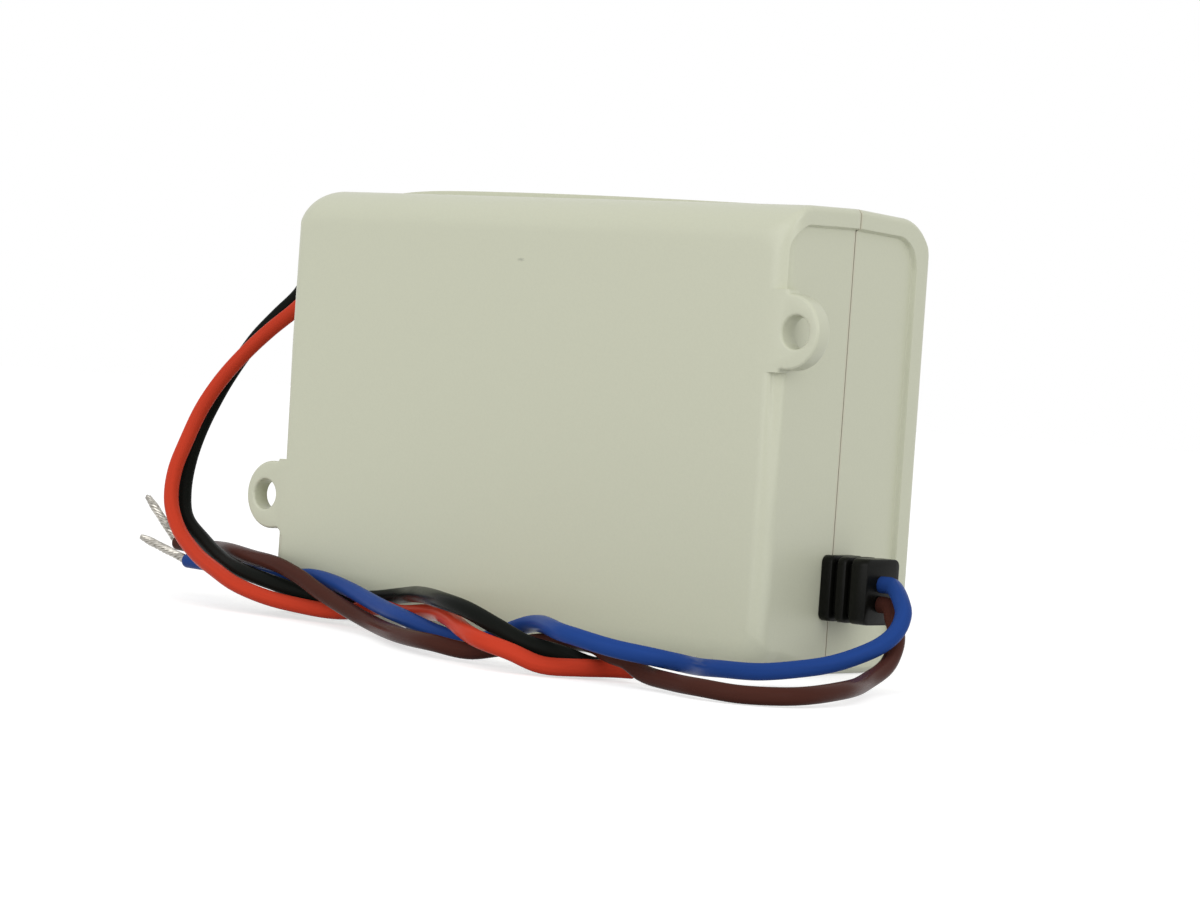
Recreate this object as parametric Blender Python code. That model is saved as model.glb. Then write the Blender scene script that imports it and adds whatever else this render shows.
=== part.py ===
"""Sealed plastic LED driver: two shells, four free wires and the circuit board inside.

The driver stands on one long side wall. X runs along its length, Z is up, and the base
face with the two fixing lugs looks towards -Y. The origin is under the middle of the case.
Lengths are written in millimetres and turned into metres by MM.
"""

import math

import bmesh
import bpy
import numpy as np
from mathutils import Matrix, Vector

MM = 0.001

# Case, outside
CASE_LENGTH = 84.0
CASE_DEPTH = 29.5
CASE_HEIGHT = 57.0
BASE_SHELL_DEPTH = 13.8
WALL = 2.0
LONG_EDGE_RADIUS_BASE = 4.5
LONG_EDGE_RADIUS_COVER = 6.0
END_EDGE_RADIUS_BASE = 2.8
END_EDGE_RADIUS_COVER = 1.2
SMOOTH_CORNER_RADIUS = 5.8
SMOOTH_CORNER_JOINT_RADIUS = 2.8
SQUARE_CORNER_RADIUS = 0.8
SQUARE_CORNER_FACE_RADIUS = 3.0
TOP_WALL_BOW = 1.15
BOW_START = 2.6
BOW_PEAK = 20.0
INNER_CHAMFER = 1.3

# Joint between the shells
GAP = 0.3
LIP_THICKNESS = 0.9
LIP_HEIGHT = 1.5

# Sunk panel of each end
RECESS_DEPTH = 0.6
RIM_TOP = 2.5
RIM_COVER_SIDE = 2.9
RIM_BASE_SIDE = 1.2
RECESS_RADIUS_BASE = 3.8
RECESS_RADIUS_COVER = 4.0

# Fixing lugs, flush with the base face
LUG_BELOW_TOP = 15.7
LUG_WIDTH = 9.1
LUG_REACH = 4.9
LUG_THICKNESS = 2.5
LUG_ROOT = 3.2
LUG_EDGE_ROUNDING = 0.45
LUG_ROOT_FILLET = 1.1
LUG_HOLE_OUT = 1.5
LUG_HOLE_DIAMETER = 4.0

# Label on the cover
LABEL_END_MARGIN = 7.0
LABEL_SIDE_MARGIN = 2.0
LABEL_THICKNESS = 0.15
LABEL_RADIUS = 2.0

# Strain reliefs
RELIEF_WIDTH = 6.7
RELIEF_HEIGHT = 8.0
RELIEF_PAST_JOINT = 1.15
RELIEF_CENTRE_HEIGHT = 10.85
RELIEF_FLANGE = 1.2
RELIEF_GROOVE_1 = 0.9
RELIEF_RIB = 1.3
RELIEF_GROOVE_2 = 0.7
RELIEF_BLOCK = 2.2
RELIEF_GROOVE_SINK = 0.8
RELIEF_NECK_SINK = 0.7
RELIEF_INNER_FLANGE = 1.6
RELIEF_RADIUS = 0.9

# Wires
WIRE_DIAMETER = 2.05
WIRE_POINT_SPACING = 4.6
TIP_DIAMETER = 1.2
TIP_LENGTH = 9.4
LEAD_DIAMETER = 1.8
UPPER_LEAD_OFFSET = 0.95
LOWER_LEAD_OFFSET = -1.45
LEAD_STRAIGHT = 1.3
LEAD_TURN = 1.5
LEAD_SAG = 0.5

# Board
BOARD_END_CLEARANCE = 2.5
BOARD_SIDE_CLEARANCE = 1.75
BOARD_THICKNESS = 1.6
BOARD_STANDOFF = 3.2
POST_DIAMETER = 4.0
POST_INSET_X = 2.5
POST_INSET_Z = 2.0
SHEET_POST_CLEARANCE = 2.0
SHEET_SIDE_MARGIN = 1.25
SHEET_THICKNESS = 0.4

# Transformer and choke: middles in from the board's middle or input end, and from its upper edge
TRANSFORMER_PLACE = ("middle", -7.0, "upper", 13.25)
TRANSFORMER_LENGTH = 20.0
TRANSFORMER_CORE_WIDTH = 5.0
TRANSFORMER_LEG = 3.2
TRANSFORMER_MIDDLE_LEG = 4.2
TRANSFORMER_COIL_BULGE = 4.5
TRANSFORMER_RAIL = 2.2
TRANSFORMER_HEADROOM = 1.95
CHOKE_PLACE = ("input", 17.5, "upper", 24.25)
CHOKE_LENGTH = 16.0
CHOKE_LEG = 3.0
CHOKE_THICKNESS = 4.0
CHOKE_COIL_WALL = 1.8
CHOKE_HEADROOM = 3.65
WINDING_RADIUS = 1.5
WINDING_BORE_RADIUS = 0.3

# Box-shaped parts: the place of the middle, counted from an end or the middle of the board and
# from its upper or lower edge, then length and width
BRIDGE_RECTIFIER = ("input", 14.0, "upper", 9.25, 8.0, 6.4)
MOSFET_HEATSINK = ("middle", 6.5, "upper", 12.25, 1.6, 16.0)
SWITCHING_MOSFET = ("middle", 9.7, "upper", 12.25, 4.2, 10.0)
CONTROLLER_CHIP = ("middle", 15.0, "upper", 3.25, 5.0, 4.0)
FUSE = ("input", 7.8, "lower", 9.25, 8.0, 4.0)
X_CAPACITOR = ("input", 19.0, "lower", 6.75, 13.0, 8.5)
OPTOCOUPLER = ("output", 19.2, "lower", 15.75, 6.4, 4.6)

# Round parts: the place of the middle in the same way, then the diameter
OUTPUT_CAPACITOR_1 = ("output", 7.9, "upper", 19.25, 10.0)
OUTPUT_CHOKE = ("output", 7.7, "upper", 9.25, 8.0)
VARISTOR = ("input", 4.5, "upper", 21.25, 9.0)
INRUSH_THERMISTOR = ("input", 4.5, "upper", 11.25, 8.0)
SNUBBER_RESISTOR = ("middle", 0.0, "upper", 3.05, 3.4)
SENSE_RESISTOR = ("output", 14.5, "upper", 3.05, 2.4)
BULK_CAPACITOR = ("middle", -1.9, "lower", 9.75, 12.5)
OUTPUT_CAPACITOR_2 = ("output", 7.0, "lower", 10.25, 8.0)
SAFETY_CAPACITOR = ("output", 13.3, "lower", 10.75, 8.0)
OUTPUT_DIODE = ("output", 18.2, "lower", 6.25, 5.0)

# Heights of low parts, and the headroom left over tall ones under the cover
BRIDGE_HEIGHT = 3.4
CHIP_HEIGHT = 1.6
FUSE_HEIGHT = 7.5
OPTOCOUPLER_HEIGHT = 3.6
X_CAPACITOR_HEADROOM = 5.95
HEATSINK_HEADROOM = 3.95
MOSFET_HEADROOM = 6.95
BULK_HEADROOM = 1.45
OUTPUT_1_HEADROOM = 3.95
OUTPUT_2_HEADROOM = 7.95
OUTPUT_CHOKE_HEIGHT = 10.0

# Thicknesses of the discs and lengths of the parts that lie on the board
VARISTOR_THICKNESS = 4.0
THERMISTOR_THICKNESS = 4.2
SAFETY_THICKNESS = 4.0
SNUBBER_LENGTH = 9.5
SENSE_LENGTH = 6.5
DIODE_LENGTH = 9.0

# Steps of the round shapes
ROUND_SEGMENTS = 6
CAN_SEGMENTS = 28
CURVE_STEPS = 16
BOW_STEPS = 14

BASE_Y = -CASE_DEPTH / 2
SPLIT_Y = BASE_Y + BASE_SHELL_DEPTH
COVER_Y = CASE_DEPTH / 2
HALF_LENGTH = CASE_LENGTH / 2
PANEL_X = HALF_LENGTH - RECESS_DEPTH
BOARD_Y = BASE_Y + WALL + BOARD_STANDOFF
BOARD_TOP_Y = BOARD_Y + BOARD_THICKNESS
PARTS_Y = BOARD_TOP_Y + GAP
CEILING_Y = COVER_Y - WALL - GAP - LABEL_THICKNESS
PARTS_ROOM = CEILING_Y - PARTS_Y
BOARD_LENGTH = CASE_LENGTH - 2 * (WALL + BOARD_END_CLEARANCE)
BOARD_Z = WALL + BOARD_SIDE_CLEARANCE
BOARD_TOP_Z = CASE_HEIGHT - BOARD_Z
BOARD_HEIGHT = BOARD_TOP_Z - BOARD_Z
SHEET_LENGTH = BOARD_LENGTH - 2 * (POST_INSET_X + POST_DIAMETER / 2 + SHEET_POST_CLEARANCE)
SHEET_HEIGHT = BOARD_HEIGHT - 2 * SHEET_SIDE_MARGIN
LABEL_LENGTH = CASE_LENGTH - 2 * LABEL_END_MARGIN
LABEL_HEIGHT = CASE_HEIGHT - 2 * (LONG_EDGE_RADIUS_COVER + LABEL_SIDE_MARGIN)
LUG_CENTRE_HEIGHT = CASE_HEIGHT - LUG_BELOW_TOP
RELIEF_CENTRE_DEPTH = BASE_SHELL_DEPTH + RELIEF_PAST_JOINT

# Wire routes, chosen by hand: x, depth behind the base face, height above the floor
BLUE_ROUTE = [
    (48.3, 14.7, 11.8), (49.8, 14.5, 11.8), (51.6, 13.1, 11.3), (53.7, 11.2, 10.2),
    (55.3, 9.5, 8.9), (56.1, 7.2, 7), (55.8, 4.7, 5.4), (54.5, 1.8, 4),
    (52.7, -0.9, 2.9), (50.6, -4, 2.2), (48.2, -8.4, 1.7), (46.8, -14.1, 2),
    (46.9, -18.1, 2.3), (49.3, -25.2, 3.2), (48.2, -28.7, 3.8), (44.7, -31.2, 4.4),
    (38, -31.3, 5.3), (25.5, -23.2, 5.1), (16.5, -21.8, 2.2), (11.2, -21.1, 2.1),
    (-1.1, -16.8, 3.4), (-8.3, -13, 3.9), (-19.4, -7.3, 5), (-26, -4.3, 5.5),
    (-31.7, -2.3, 5.6), (-38.4, -1.6, 4.8), (-46.2, 0.9, 5), (-57.3, 5.8, 4.8),
    (-66.6, 8.6, 4.7),
]
BROWN_ROUTE = [
    (48.3, 14.7, 9.4), (49.7, 14.5, 9.3), (51.8, 12.5, 7.9), (54.4, 9.8, 5.8),
    (56.2, 5.9, 3.3), (58.4, -1.1, 1.7), (64.8, -15.5, 1.5), (65.4, -25.5, 1.2),
    (61.6, -29.4, 1.1), (56.6, -30.1, 1.3), (51.3, -28.5, 1.3), (45.8, -27, 1.7),
    (43.4, -26.9, 2.8), (40.9, -26.8, 3.2), (36.9, -25.2, 3.9), (32, -23.8, 3.7),
    (28.3, -24.5, 3.3), (23.2, -26.1, 2.1), (19.5, -26.7, 1.4), (13.2, -26.3, 1.7),
    (4, -22, 1.6), (-10.1, -12.7, 1.7), (-19.3, -9.1, 3.1), (-24.5, -7.6, 4.3),
    (-29.8, -6, 5.7), (-35.9, -4.2, 6.8), (-43.1, -1.6, 7.1), (-51.8, 2.7, 7.3),
    (-60, 7.9, 7), (-65.6, 9.9, 6.7), (-72, 11.5, 6.8),
]
RED_ROUTE = [
    (-48.3, 14.9, 45.2), (-49.8, 14.9, 44.9), (-52, 14.6, 43.1), (-54.2, 13.9, 40.9),
    (-57.1, 12.5, 38.1), (-59.7, 10.8, 34.9), (-62.1, 8.8, 31), (-63.7, 6.7, 26.6),
    (-64.3, 4.6, 21.7), (-64, 2.5, 17.5), (-62.4, 0.7, 13.4), (-59.1, -0.7, 9.8),
    (-53.3, -2.6, 6.8), (-47, -4.6, 5), (-41.8, -5.8, 3.6), (-35.4, -5.9, 2.4),
    (-30, -5.5, 1.9), (-24.7, -5.3, 1.7), (-20.8, -5.4, 2), (-15.3, -6.2, 3.1),
    (-10.1, -7.5, 2.9), (0.2, -12.9, 4), (11.4, -22, 4.5), (24.3, -30.7, 3.3),
    (29.8, -31.1, 2.4), (33.5, -30, 1.3), (37, -27.3, 1.3), (39.3, -24.4, 1.4),
    (41.7, -23.6, 1.5),
]
BLACK_ROUTE = [
    (-48.3, 14.9, 47.6), (-49.9, 15.1, 47.5), (-52.6, 15.4, 46.2), (-55.3, 15.7, 43.2),
    (-58.2, 14.9, 40.3), (-60.7, 13.7, 37.2), (-61.8, 13, 35.3), (-63.3, 11.6, 31.9),
    (-64.3, 10.2, 28.6), (-65.1, 8, 23.5), (-64.9, 6.1, 19.1), (-63.6, 4.2, 14.8),
    (-61.3, 2.7, 11.3), (-56, 1.3, 8.4), (-50, -0.9, 6.5), (-43.2, -3.4, 5.3),
    (-35.8, -4.1, 4.2), (-30.2, -3.4, 3.3), (-24.5, -2.9, 3.3), (-18.7, -3.3, 3.9),
    (-12, -5.3, 4.9), (-1.8, -13.1, 6), (13.8, -25.5, 6.7), (20.4, -28.3, 6.2),
    (26.1, -29.1, 4.7), (30.2, -28.7, 3.3), (33.7, -27.2, 2.6), (36.7, -23.7, 1.4),
    (38.4, -21, 2.4),
]

# Where each bare tinned end points to from the last point of its wire
BLUE_TIP_END = (-75.8, 8.0, 7.3)
BROWN_TIP_END = (-79.4, 12.0, 12.8)
RED_TIP_END = (50.6, -24.7, 1.0)
BLACK_TIP_END = (40.9, -14.0, 2.4)

# Colours, linear red, green, blue
CASE_COLOUR = (0.56, 0.57, 0.45)
RUBBER_COLOUR = (0.013, 0.014, 0.011)
BLUE_COLOUR = (0.025, 0.075, 0.30)
BROWN_COLOUR = (0.060, 0.022, 0.017)
RED_COLOUR = (0.55, 0.045, 0.025)
BLACK_COLOUR = (0.012, 0.013, 0.012)
TIN_COLOUR = (0.60, 0.58, 0.54)


def clear_scene():
    for old in list(bpy.data.objects):
        bpy.data.objects.remove(old, do_unlink=True)


def material(name, colour, roughness=0.5, metallic=0.0):
    """A Principled material of one plain colour."""
    made = bpy.data.materials.new(name)
    made.use_nodes = True
    shader = made.node_tree.nodes["Principled BSDF"]
    shader.inputs["Base Color"].default_value = (*colour, 1.0)
    shader.inputs["Roughness"].default_value = roughness
    shader.inputs["Metallic"].default_value = metallic
    return made


def new_object(name, mesh_data, finish, smooth=True):
    item = bpy.data.objects.new(name, mesh_data)
    bpy.context.scene.collection.objects.link(item)
    if finish is not None:
        item.data.materials.append(finish)
    if smooth and item.type == "MESH":
        item.data.shade_smooth()
        item.data.set_sharp_from_angle(angle=math.radians(35.0))
    return item


def hide_tool(item):
    """A cutter or a shape that is joined to another: it isn't a piece itself."""
    item.hide_render = True
    item.display_type = "WIRE"
    return item


def rounded_outline(low_u, high_u, low_v, high_v, radii, segments=ROUND_SEGMENTS):
    """A rectangle with round corners, counter-clockwise from its low corner.

    radii are those of the corners low-low, high-low, high-high and low-high.
    """
    corners = (
        (low_u, low_v, 1, 1, 180.0),
        (high_u, low_v, -1, 1, 270.0),
        (high_u, high_v, -1, -1, 0.0),
        (low_u, high_v, 1, -1, 90.0),
    )
    points = []
    for (u, v, side_u, side_v, start), radius in zip(corners, radii):
        centre_u = u + side_u * radius
        centre_v = v + side_v * radius
        for step in range(segments + 1):
            angle = math.radians(start + 90.0 * step / segments)
            points.append((centre_u + radius * math.cos(angle), centre_v + radius * math.sin(angle)))
    return points


def mesh_from_rings(name, rings, closed=False):
    """Joins rings of equally many points by strips of faces and caps both ends.

    A closed row of rings is a tube that runs back into its first ring and has no caps.
    """
    shape = bmesh.new()
    rows = [[shape.verts.new(Vector(point) * MM) for point in ring] for ring in rings]
    count = len(rows[0])
    pairs = list(zip(rows, rows[1:]))
    if closed:
        pairs.append((rows[-1], rows[0]))
    for first, second in pairs:
        for i in range(count):
            j = (i + 1) % count
            shape.faces.new((first[i], first[j], second[j], second[i]))
    if not closed:
        shape.faces.new(list(reversed(rows[0])))
        shape.faces.new(rows[-1])
    bmesh.ops.recalc_face_normals(shape, faces=shape.faces)
    data = bpy.data.meshes.new(name)
    shape.to_mesh(data)
    shape.free()
    return data


def block(name, low, high, finish, radius=0.0, axis="Y", segments=3):
    """A box between two corners whose four edges along one axis are rounded."""
    across = {"X": (1, 2, 0), "Y": (0, 2, 1), "Z": (0, 1, 2)}[axis]
    a, b, along = across
    outline = rounded_outline(low[a], high[a], low[b], high[b], (max(radius, 0.01),) * 4, segments)
    if radius == 0.0:
        outline = [(low[a], low[b]), (high[a], low[b]), (high[a], high[b]), (low[a], high[b])]
    rings = []
    for level in (low[along], high[along]):
        ring = []
        for u, v in outline:
            point = [0.0, 0.0, 0.0]
            point[a], point[b], point[along] = u, v, level
            ring.append(tuple(point))
        rings.append(ring)
    return new_object(name, mesh_from_rings(name, rings), finish)


def turned(name, centre, profile, finish, axis="Y", segments=CAN_SEGMENTS):
    """A solid of revolution: profile gives radius and distance along the axis, end to end."""
    rings = []
    for radius, along in profile:
        ring = []
        for step in range(segments):
            angle = 2.0 * math.pi * step / segments
            u, v = radius * math.cos(angle), radius * math.sin(angle)
            offset = {"X": (along, u, v), "Y": (u, along, v), "Z": (u, v, along)}[axis]
            ring.append(tuple(c + d for c, d in zip(centre, offset)))
        rings.append(ring)
    return new_object(name, mesh_from_rings(name, rings), finish)


def boolean(target, tool, operation):
    step = target.modifiers.new(tool.name, "BOOLEAN")
    step.operation = operation
    step.solver = "EXACT"
    step.object = tool


def turn_half_about_depth(item):
    """The far end's copy: turned half round about the depth axis through the case's middle."""
    pivot = Vector((0.0, 0.0, CASE_HEIGHT / 2 * MM))
    turn = Matrix.Translation(pivot) @ Matrix.Rotation(math.pi, 4, "Y") @ Matrix.Translation(-pivot)
    item.data.transform(turn)
    return item


def edge_inset(radius, depth):
    """How far a rounded edge of this radius stands back at a depth from its face."""
    if depth >= radius:
        return 0.0
    return radius - math.sqrt(radius**2 - (radius - depth) ** 2)


def top_bow(x):
    """How far the cover's upper long wall has bowed out at a place along the length."""
    start, peak, end = -HALF_LENGTH + BOW_START, -HALF_LENGTH + BOW_PEAK, HALF_LENGTH
    if x <= start or x >= end:
        return 0.0
    if x < peak:
        return TOP_WALL_BOW * math.sin(0.5 * math.pi * (x - start) / (peak - start))
    return TOP_WALL_BOW * math.cos(0.5 * math.pi * (x - peak) / (end - peak)) ** 1.1


def smooth_corner_radius(depth, face_y):
    """The smooth corners' radius: wide through the base's rounding, tighter from there to the joint."""
    if face_y > 0:
        return SMOOTH_CORNER_JOINT_RADIUS
    share = (depth - LONG_EDGE_RADIUS_BASE) / (BASE_SHELL_DEPTH - LONG_EDGE_RADIUS_BASE)
    share = min(1.0, max(0.0, share))
    return SMOOTH_CORNER_RADIUS + (SMOOTH_CORNER_JOINT_RADIUS - SMOOTH_CORNER_RADIUS) * share


def case_ring(y, face_y, long_radius, wall_inset=0.0, bowed=False):
    """One outline of a shell across its depth, standing back by the edge rounding and a wall."""
    depth = abs(y - face_y)
    end_radius = END_EDGE_RADIUS_COVER if face_y > 0 else END_EDGE_RADIUS_BASE
    inset_x = edge_inset(end_radius, depth) if not wall_inset else 0.0
    inset_z = edge_inset(long_radius, depth) if not wall_inset else 0.0
    share = inset_x / end_radius
    smooth = max(smooth_corner_radius(depth, face_y) - max(inset_x, inset_z) - wall_inset, 1.5)
    square = SQUARE_CORNER_RADIUS + (SQUARE_CORNER_FACE_RADIUS - SQUARE_CORNER_RADIUS) * share
    half = HALF_LENGTH - inset_x - wall_inset
    low = inset_z + wall_inset
    high = CASE_HEIGHT - low
    outline = rounded_outline(-half, half, low, high, (square, smooth, square, smooth))
    corner = ROUND_SEGMENTS + 1
    top_right, top_left = outline[3 * corner - 1], outline[3 * corner]
    top_edge = []
    for step in range(1, BOW_STEPS):
        x = top_right[0] + (top_left[0] - top_right[0]) * step / BOW_STEPS
        rise = top_bow(x) * min(1.0, depth / long_radius) if bowed else 0.0
        top_edge.append((x, high + rise))
    outline = outline[: 3 * corner] + top_edge + outline[3 * corner :]
    return [(x, y, z) for x, z in outline]


def shell_levels(face_y, inward, long_radius, depth):
    """Depths at which a shell's outside gets a ring: through the rounding, then at the joint."""
    angles = [0.5 * math.pi * k / ROUND_SEGMENTS for k in range(ROUND_SEGMENTS + 1)]
    levels = [long_radius * (1.0 - math.cos(angle)) for angle in angles]
    return [face_y + inward * level for level in levels] + [face_y + inward * depth]


def base_shell_mesh():
    """Outside from the base face to the joint, the lip that enters the cover, then the inside."""
    rings = [
        case_ring(y, BASE_Y, LONG_EDGE_RADIUS_BASE)
        for y in shell_levels(BASE_Y, 1, LONG_EDGE_RADIUS_BASE, BASE_SHELL_DEPTH - GAP / 2)
    ]
    joint_y = SPLIT_Y - GAP / 2
    lip_inset = WALL - LIP_THICKNESS
    rings.append(case_ring(joint_y, BASE_Y, LONG_EDGE_RADIUS_BASE, lip_inset))
    rings.append(case_ring(joint_y + LIP_HEIGHT, BASE_Y, LONG_EDGE_RADIUS_BASE, lip_inset))
    rings.append(case_ring(joint_y + LIP_HEIGHT, BASE_Y, LONG_EDGE_RADIUS_BASE, WALL))
    rings.append(case_ring(BASE_Y + WALL, BASE_Y, LONG_EDGE_RADIUS_BASE, WALL))
    return mesh_from_rings("base_shell", rings)


def cover_shell_mesh():
    """Outside from the cover face to the joint, the rebate for the lip, then the inside."""
    rings = [
        case_ring(y, COVER_Y, LONG_EDGE_RADIUS_COVER, bowed=True)
        for y in shell_levels(COVER_Y, -1, LONG_EDGE_RADIUS_COVER, CASE_DEPTH - BASE_SHELL_DEPTH - GAP / 2)
    ]
    joint_y = SPLIT_Y + GAP / 2
    skin = WALL - LIP_THICKNESS - GAP
    rebate_y = joint_y + LIP_HEIGHT
    rings.append(case_ring(joint_y, COVER_Y, LONG_EDGE_RADIUS_COVER, skin, bowed=True))
    rings.append(case_ring(rebate_y, COVER_Y, LONG_EDGE_RADIUS_COVER, skin, bowed=True))
    rings.append(case_ring(rebate_y, COVER_Y, LONG_EDGE_RADIUS_COVER, WALL, bowed=True))
    chamfer_y = COVER_Y - WALL - INNER_CHAMFER
    rings.append(case_ring(chamfer_y, COVER_Y, LONG_EDGE_RADIUS_COVER, WALL, bowed=True))
    rings.append(case_ring(COVER_Y - WALL, COVER_Y, LONG_EDGE_RADIUS_COVER, WALL + INNER_CHAMFER, bowed=True))
    return mesh_from_rings("cover_shell", rings)


def arc(centre, radius, start, end, steps=ROUND_SEGMENTS):
    """Points of an arc between two angles in degrees."""
    angles = np.radians(np.linspace(start, end, steps + 1))
    return [(centre[0] + radius * math.cos(a), centre[1] + radius * math.sin(a)) for a in angles]


def extruded_along_x(name, outline, low_x, high_x):
    rings = [[(x, y, z) for y, z in outline] for x in (low_x, high_x)]
    return mesh_from_rings(name, rings)


def recess_tool(name):
    """The sunk panel of the right end: a rim is left above, at the cover side and over the lug."""
    beyond = 2.0
    rim_z = CASE_HEIGHT - RIM_TOP
    base_y = BASE_Y + RIM_BASE_SIDE
    cover_y = COVER_Y - RIM_COVER_SIDE
    outline = [(BASE_Y - beyond, -beyond), (cover_y, -beyond)]
    centre = (cover_y - RECESS_RADIUS_COVER, rim_z - RECESS_RADIUS_COVER)
    outline += arc(centre, RECESS_RADIUS_COVER, 0.0, 90.0)
    centre = (base_y + RECESS_RADIUS_BASE, rim_z - RECESS_RADIUS_BASE)
    outline += arc(centre, RECESS_RADIUS_BASE, 90.0, 180.0)
    outline += [(base_y, LUG_CENTRE_HEIGHT), (BASE_Y - beyond, LUG_CENTRE_HEIGHT)]
    return new_object(name, extruded_along_x(name, outline, PANEL_X, HALF_LENGTH + beyond), None)


def lug_tool(name):
    """A lug with a round nose, its edges eased, that reaches back into the wall."""
    radius = LUG_WIDTH / 2
    nose_x = HALF_LENGTH + LUG_REACH - radius
    root_x = HALF_LENGTH - LUG_ROOT
    low_z, high_z = LUG_CENTRE_HEIGHT - radius, LUG_CENTRE_HEIGHT + radius
    nose = arc((nose_x, LUG_CENTRE_HEIGHT), radius, -90.0, 90.0, 20)
    fillet = LUG_ROOT_FILLET
    fillet_arc = arc((HALF_LENGTH + fillet, high_z + fillet), fillet, 270.0, 180.0, 4)
    outline = [(root_x, low_z)] + nose + fillet_arc + [(root_x, high_z + fillet)]
    ease = LUG_EDGE_ROUNDING
    rings = []
    back = LUG_THICKNESS
    for y, shrink in ((0.0, ease), (ease * 0.3, ease * 0.3), (ease, 0.0), (back - ease, 0.0), (back, ease)):
        ring = []
        for x, z in outline:
            out = Vector((x - nose_x, z - LUG_CENTRE_HEIGHT))
            if x > nose_x - 0.01 and out.length > 0.0:
                out = out * (radius - shrink) / radius
                ring.append((nose_x + out.x, BASE_Y + y, LUG_CENTRE_HEIGHT + out.y))
            else:
                ring.append((x, BASE_Y + y, z))
        rings.append(ring)
    return new_object(name, mesh_from_rings(name, rings), None)


def lug_hole_tool(name):
    reach = LUG_THICKNESS + 2.0
    centre = (HALF_LENGTH + LUG_HOLE_OUT, BASE_Y, LUG_CENTRE_HEIGHT)
    radius = LUG_HOLE_DIAMETER / 2
    return turned(name, centre, ((radius, -2.0), (radius, reach)), None, segments=36)


def relief_notch_tool(name):
    """The hole in the right end wall, shared by the two shells, that the strain relief's neck fills."""
    neck_y = RELIEF_WIDTH / 2 - RELIEF_NECK_SINK + GAP
    neck_z = RELIEF_HEIGHT / 2 - RELIEF_NECK_SINK + GAP
    y = BASE_Y + RELIEF_CENTRE_DEPTH
    low = (HALF_LENGTH - WALL - LIP_HEIGHT, y - neck_y, RELIEF_CENTRE_HEIGHT - neck_z)
    high = (HALF_LENGTH + 2.0, y + neck_y, RELIEF_CENTRE_HEIGHT + neck_z)
    return block(name, low, high, None)


def both_ends(maker, name):
    """A tool for the right end and its copy for the left end."""
    right = hide_tool(maker(name + "_right"))
    left = hide_tool(turn_half_about_depth(maker(name + "_left")))
    return right, left


def post_places():
    half = BOARD_LENGTH / 2 - POST_INSET_X
    rise = BOARD_HEIGHT / 2 - POST_INSET_Z
    middle = CASE_HEIGHT / 2
    return [(sx * half, middle + sz * rise) for sx in (-1, 1) for sz in (-1, 1)]


def build_shells(finish):
    base = new_object("base_shell", base_shell_mesh(), finish)
    cover = new_object("cover_shell", cover_shell_mesh(), finish)
    recesses = both_ends(recess_tool, "recess_tool")
    lugs = both_ends(lug_tool, "lug_tool")
    holes = both_ends(lug_hole_tool, "lug_hole_tool")
    notches = both_ends(relief_notch_tool, "relief_notch_tool")
    for tool in recesses:
        boolean(base, tool, "DIFFERENCE")
        boolean(cover, tool, "DIFFERENCE")
    for tool in lugs:
        boolean(base, tool, "UNION")
    for tool in holes:
        boolean(base, tool, "DIFFERENCE")
    for tool in notches:
        boolean(base, tool, "DIFFERENCE")
        boolean(cover, tool, "DIFFERENCE")
    radius = POST_DIAMETER / 2
    for index, (x, z) in enumerate(post_places()):
        lower = ((radius, WALL / 2), (radius, WALL + BOARD_STANDOFF - GAP))
        post = turned(f"base_post_{index}", (x, BASE_Y, z), lower, None, segments=16)
        boolean(base, hide_tool(post), "UNION")
        upper = ((radius, BOARD_TOP_Y + GAP - BASE_Y), (radius, CASE_DEPTH - WALL / 2))
        post = turned(f"cover_post_{index}", (x, BASE_Y, z), upper, None, segments=16)
        boolean(cover, hide_tool(post), "UNION")
    sink = LABEL_THICKNESS + GAP
    half, middle = LABEL_LENGTH / 2 + GAP, CASE_HEIGHT / 2
    rise = LABEL_HEIGHT / 2 + GAP
    low, high = (-half, COVER_Y - sink, middle - rise), (half, COVER_Y + 1.0, middle + rise)
    boolean(cover, hide_tool(block("label_recess_tool", low, high, None, LABEL_RADIUS + GAP)), "DIFFERENCE")


def build_label(finish):
    half, rise, middle = LABEL_LENGTH / 2, LABEL_HEIGHT / 2, CASE_HEIGHT / 2
    low, high = (-half, COVER_Y - LABEL_THICKNESS, middle - rise), (half, COVER_Y, middle + rise)
    block("cover_label", low, high, finish, LABEL_RADIUS)


def relief_mesh(name):
    """The right strain relief: inner flange, neck in the wall, outer flange, ribs and end block."""
    wall_inner = HALF_LENGTH - WALL
    stations = []

    def section(length, sink):
        start = stations[-1][0] if stations else wall_inner - GAP - RELIEF_INNER_FLANGE
        stations.append((start, sink))
        stations.append((start + length, sink))

    section(RELIEF_INNER_FLANGE, 0.0)
    section(WALL - RECESS_DEPTH + 2 * GAP, RELIEF_NECK_SINK)
    section(RELIEF_FLANGE, 0.0)
    section(RELIEF_GROOVE_1, RELIEF_GROOVE_SINK)
    section(RELIEF_RIB, 0.0)
    section(RELIEF_GROOVE_2, RELIEF_GROOVE_SINK)
    section(RELIEF_BLOCK, 0.0)
    rings = []
    for x, sink in stations:
        half_y, half_z = RELIEF_WIDTH / 2 - sink, RELIEF_HEIGHT / 2 - sink
        y, z = BASE_Y + RELIEF_CENTRE_DEPTH, RELIEF_CENTRE_HEIGHT
        outline = rounded_outline(y - half_y, y + half_y, z - half_z, z + half_z, (RELIEF_RADIUS,) * 4, 4)
        rings.append([(x, u, v) for u, v in outline])
    return mesh_from_rings(name, rings)


def build_reliefs(finish):
    new_object("strain_relief_input", relief_mesh("strain_relief_input"), finish)
    left = new_object("strain_relief_output", relief_mesh("strain_relief_output"), finish)
    turn_half_about_depth(left)


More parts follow.
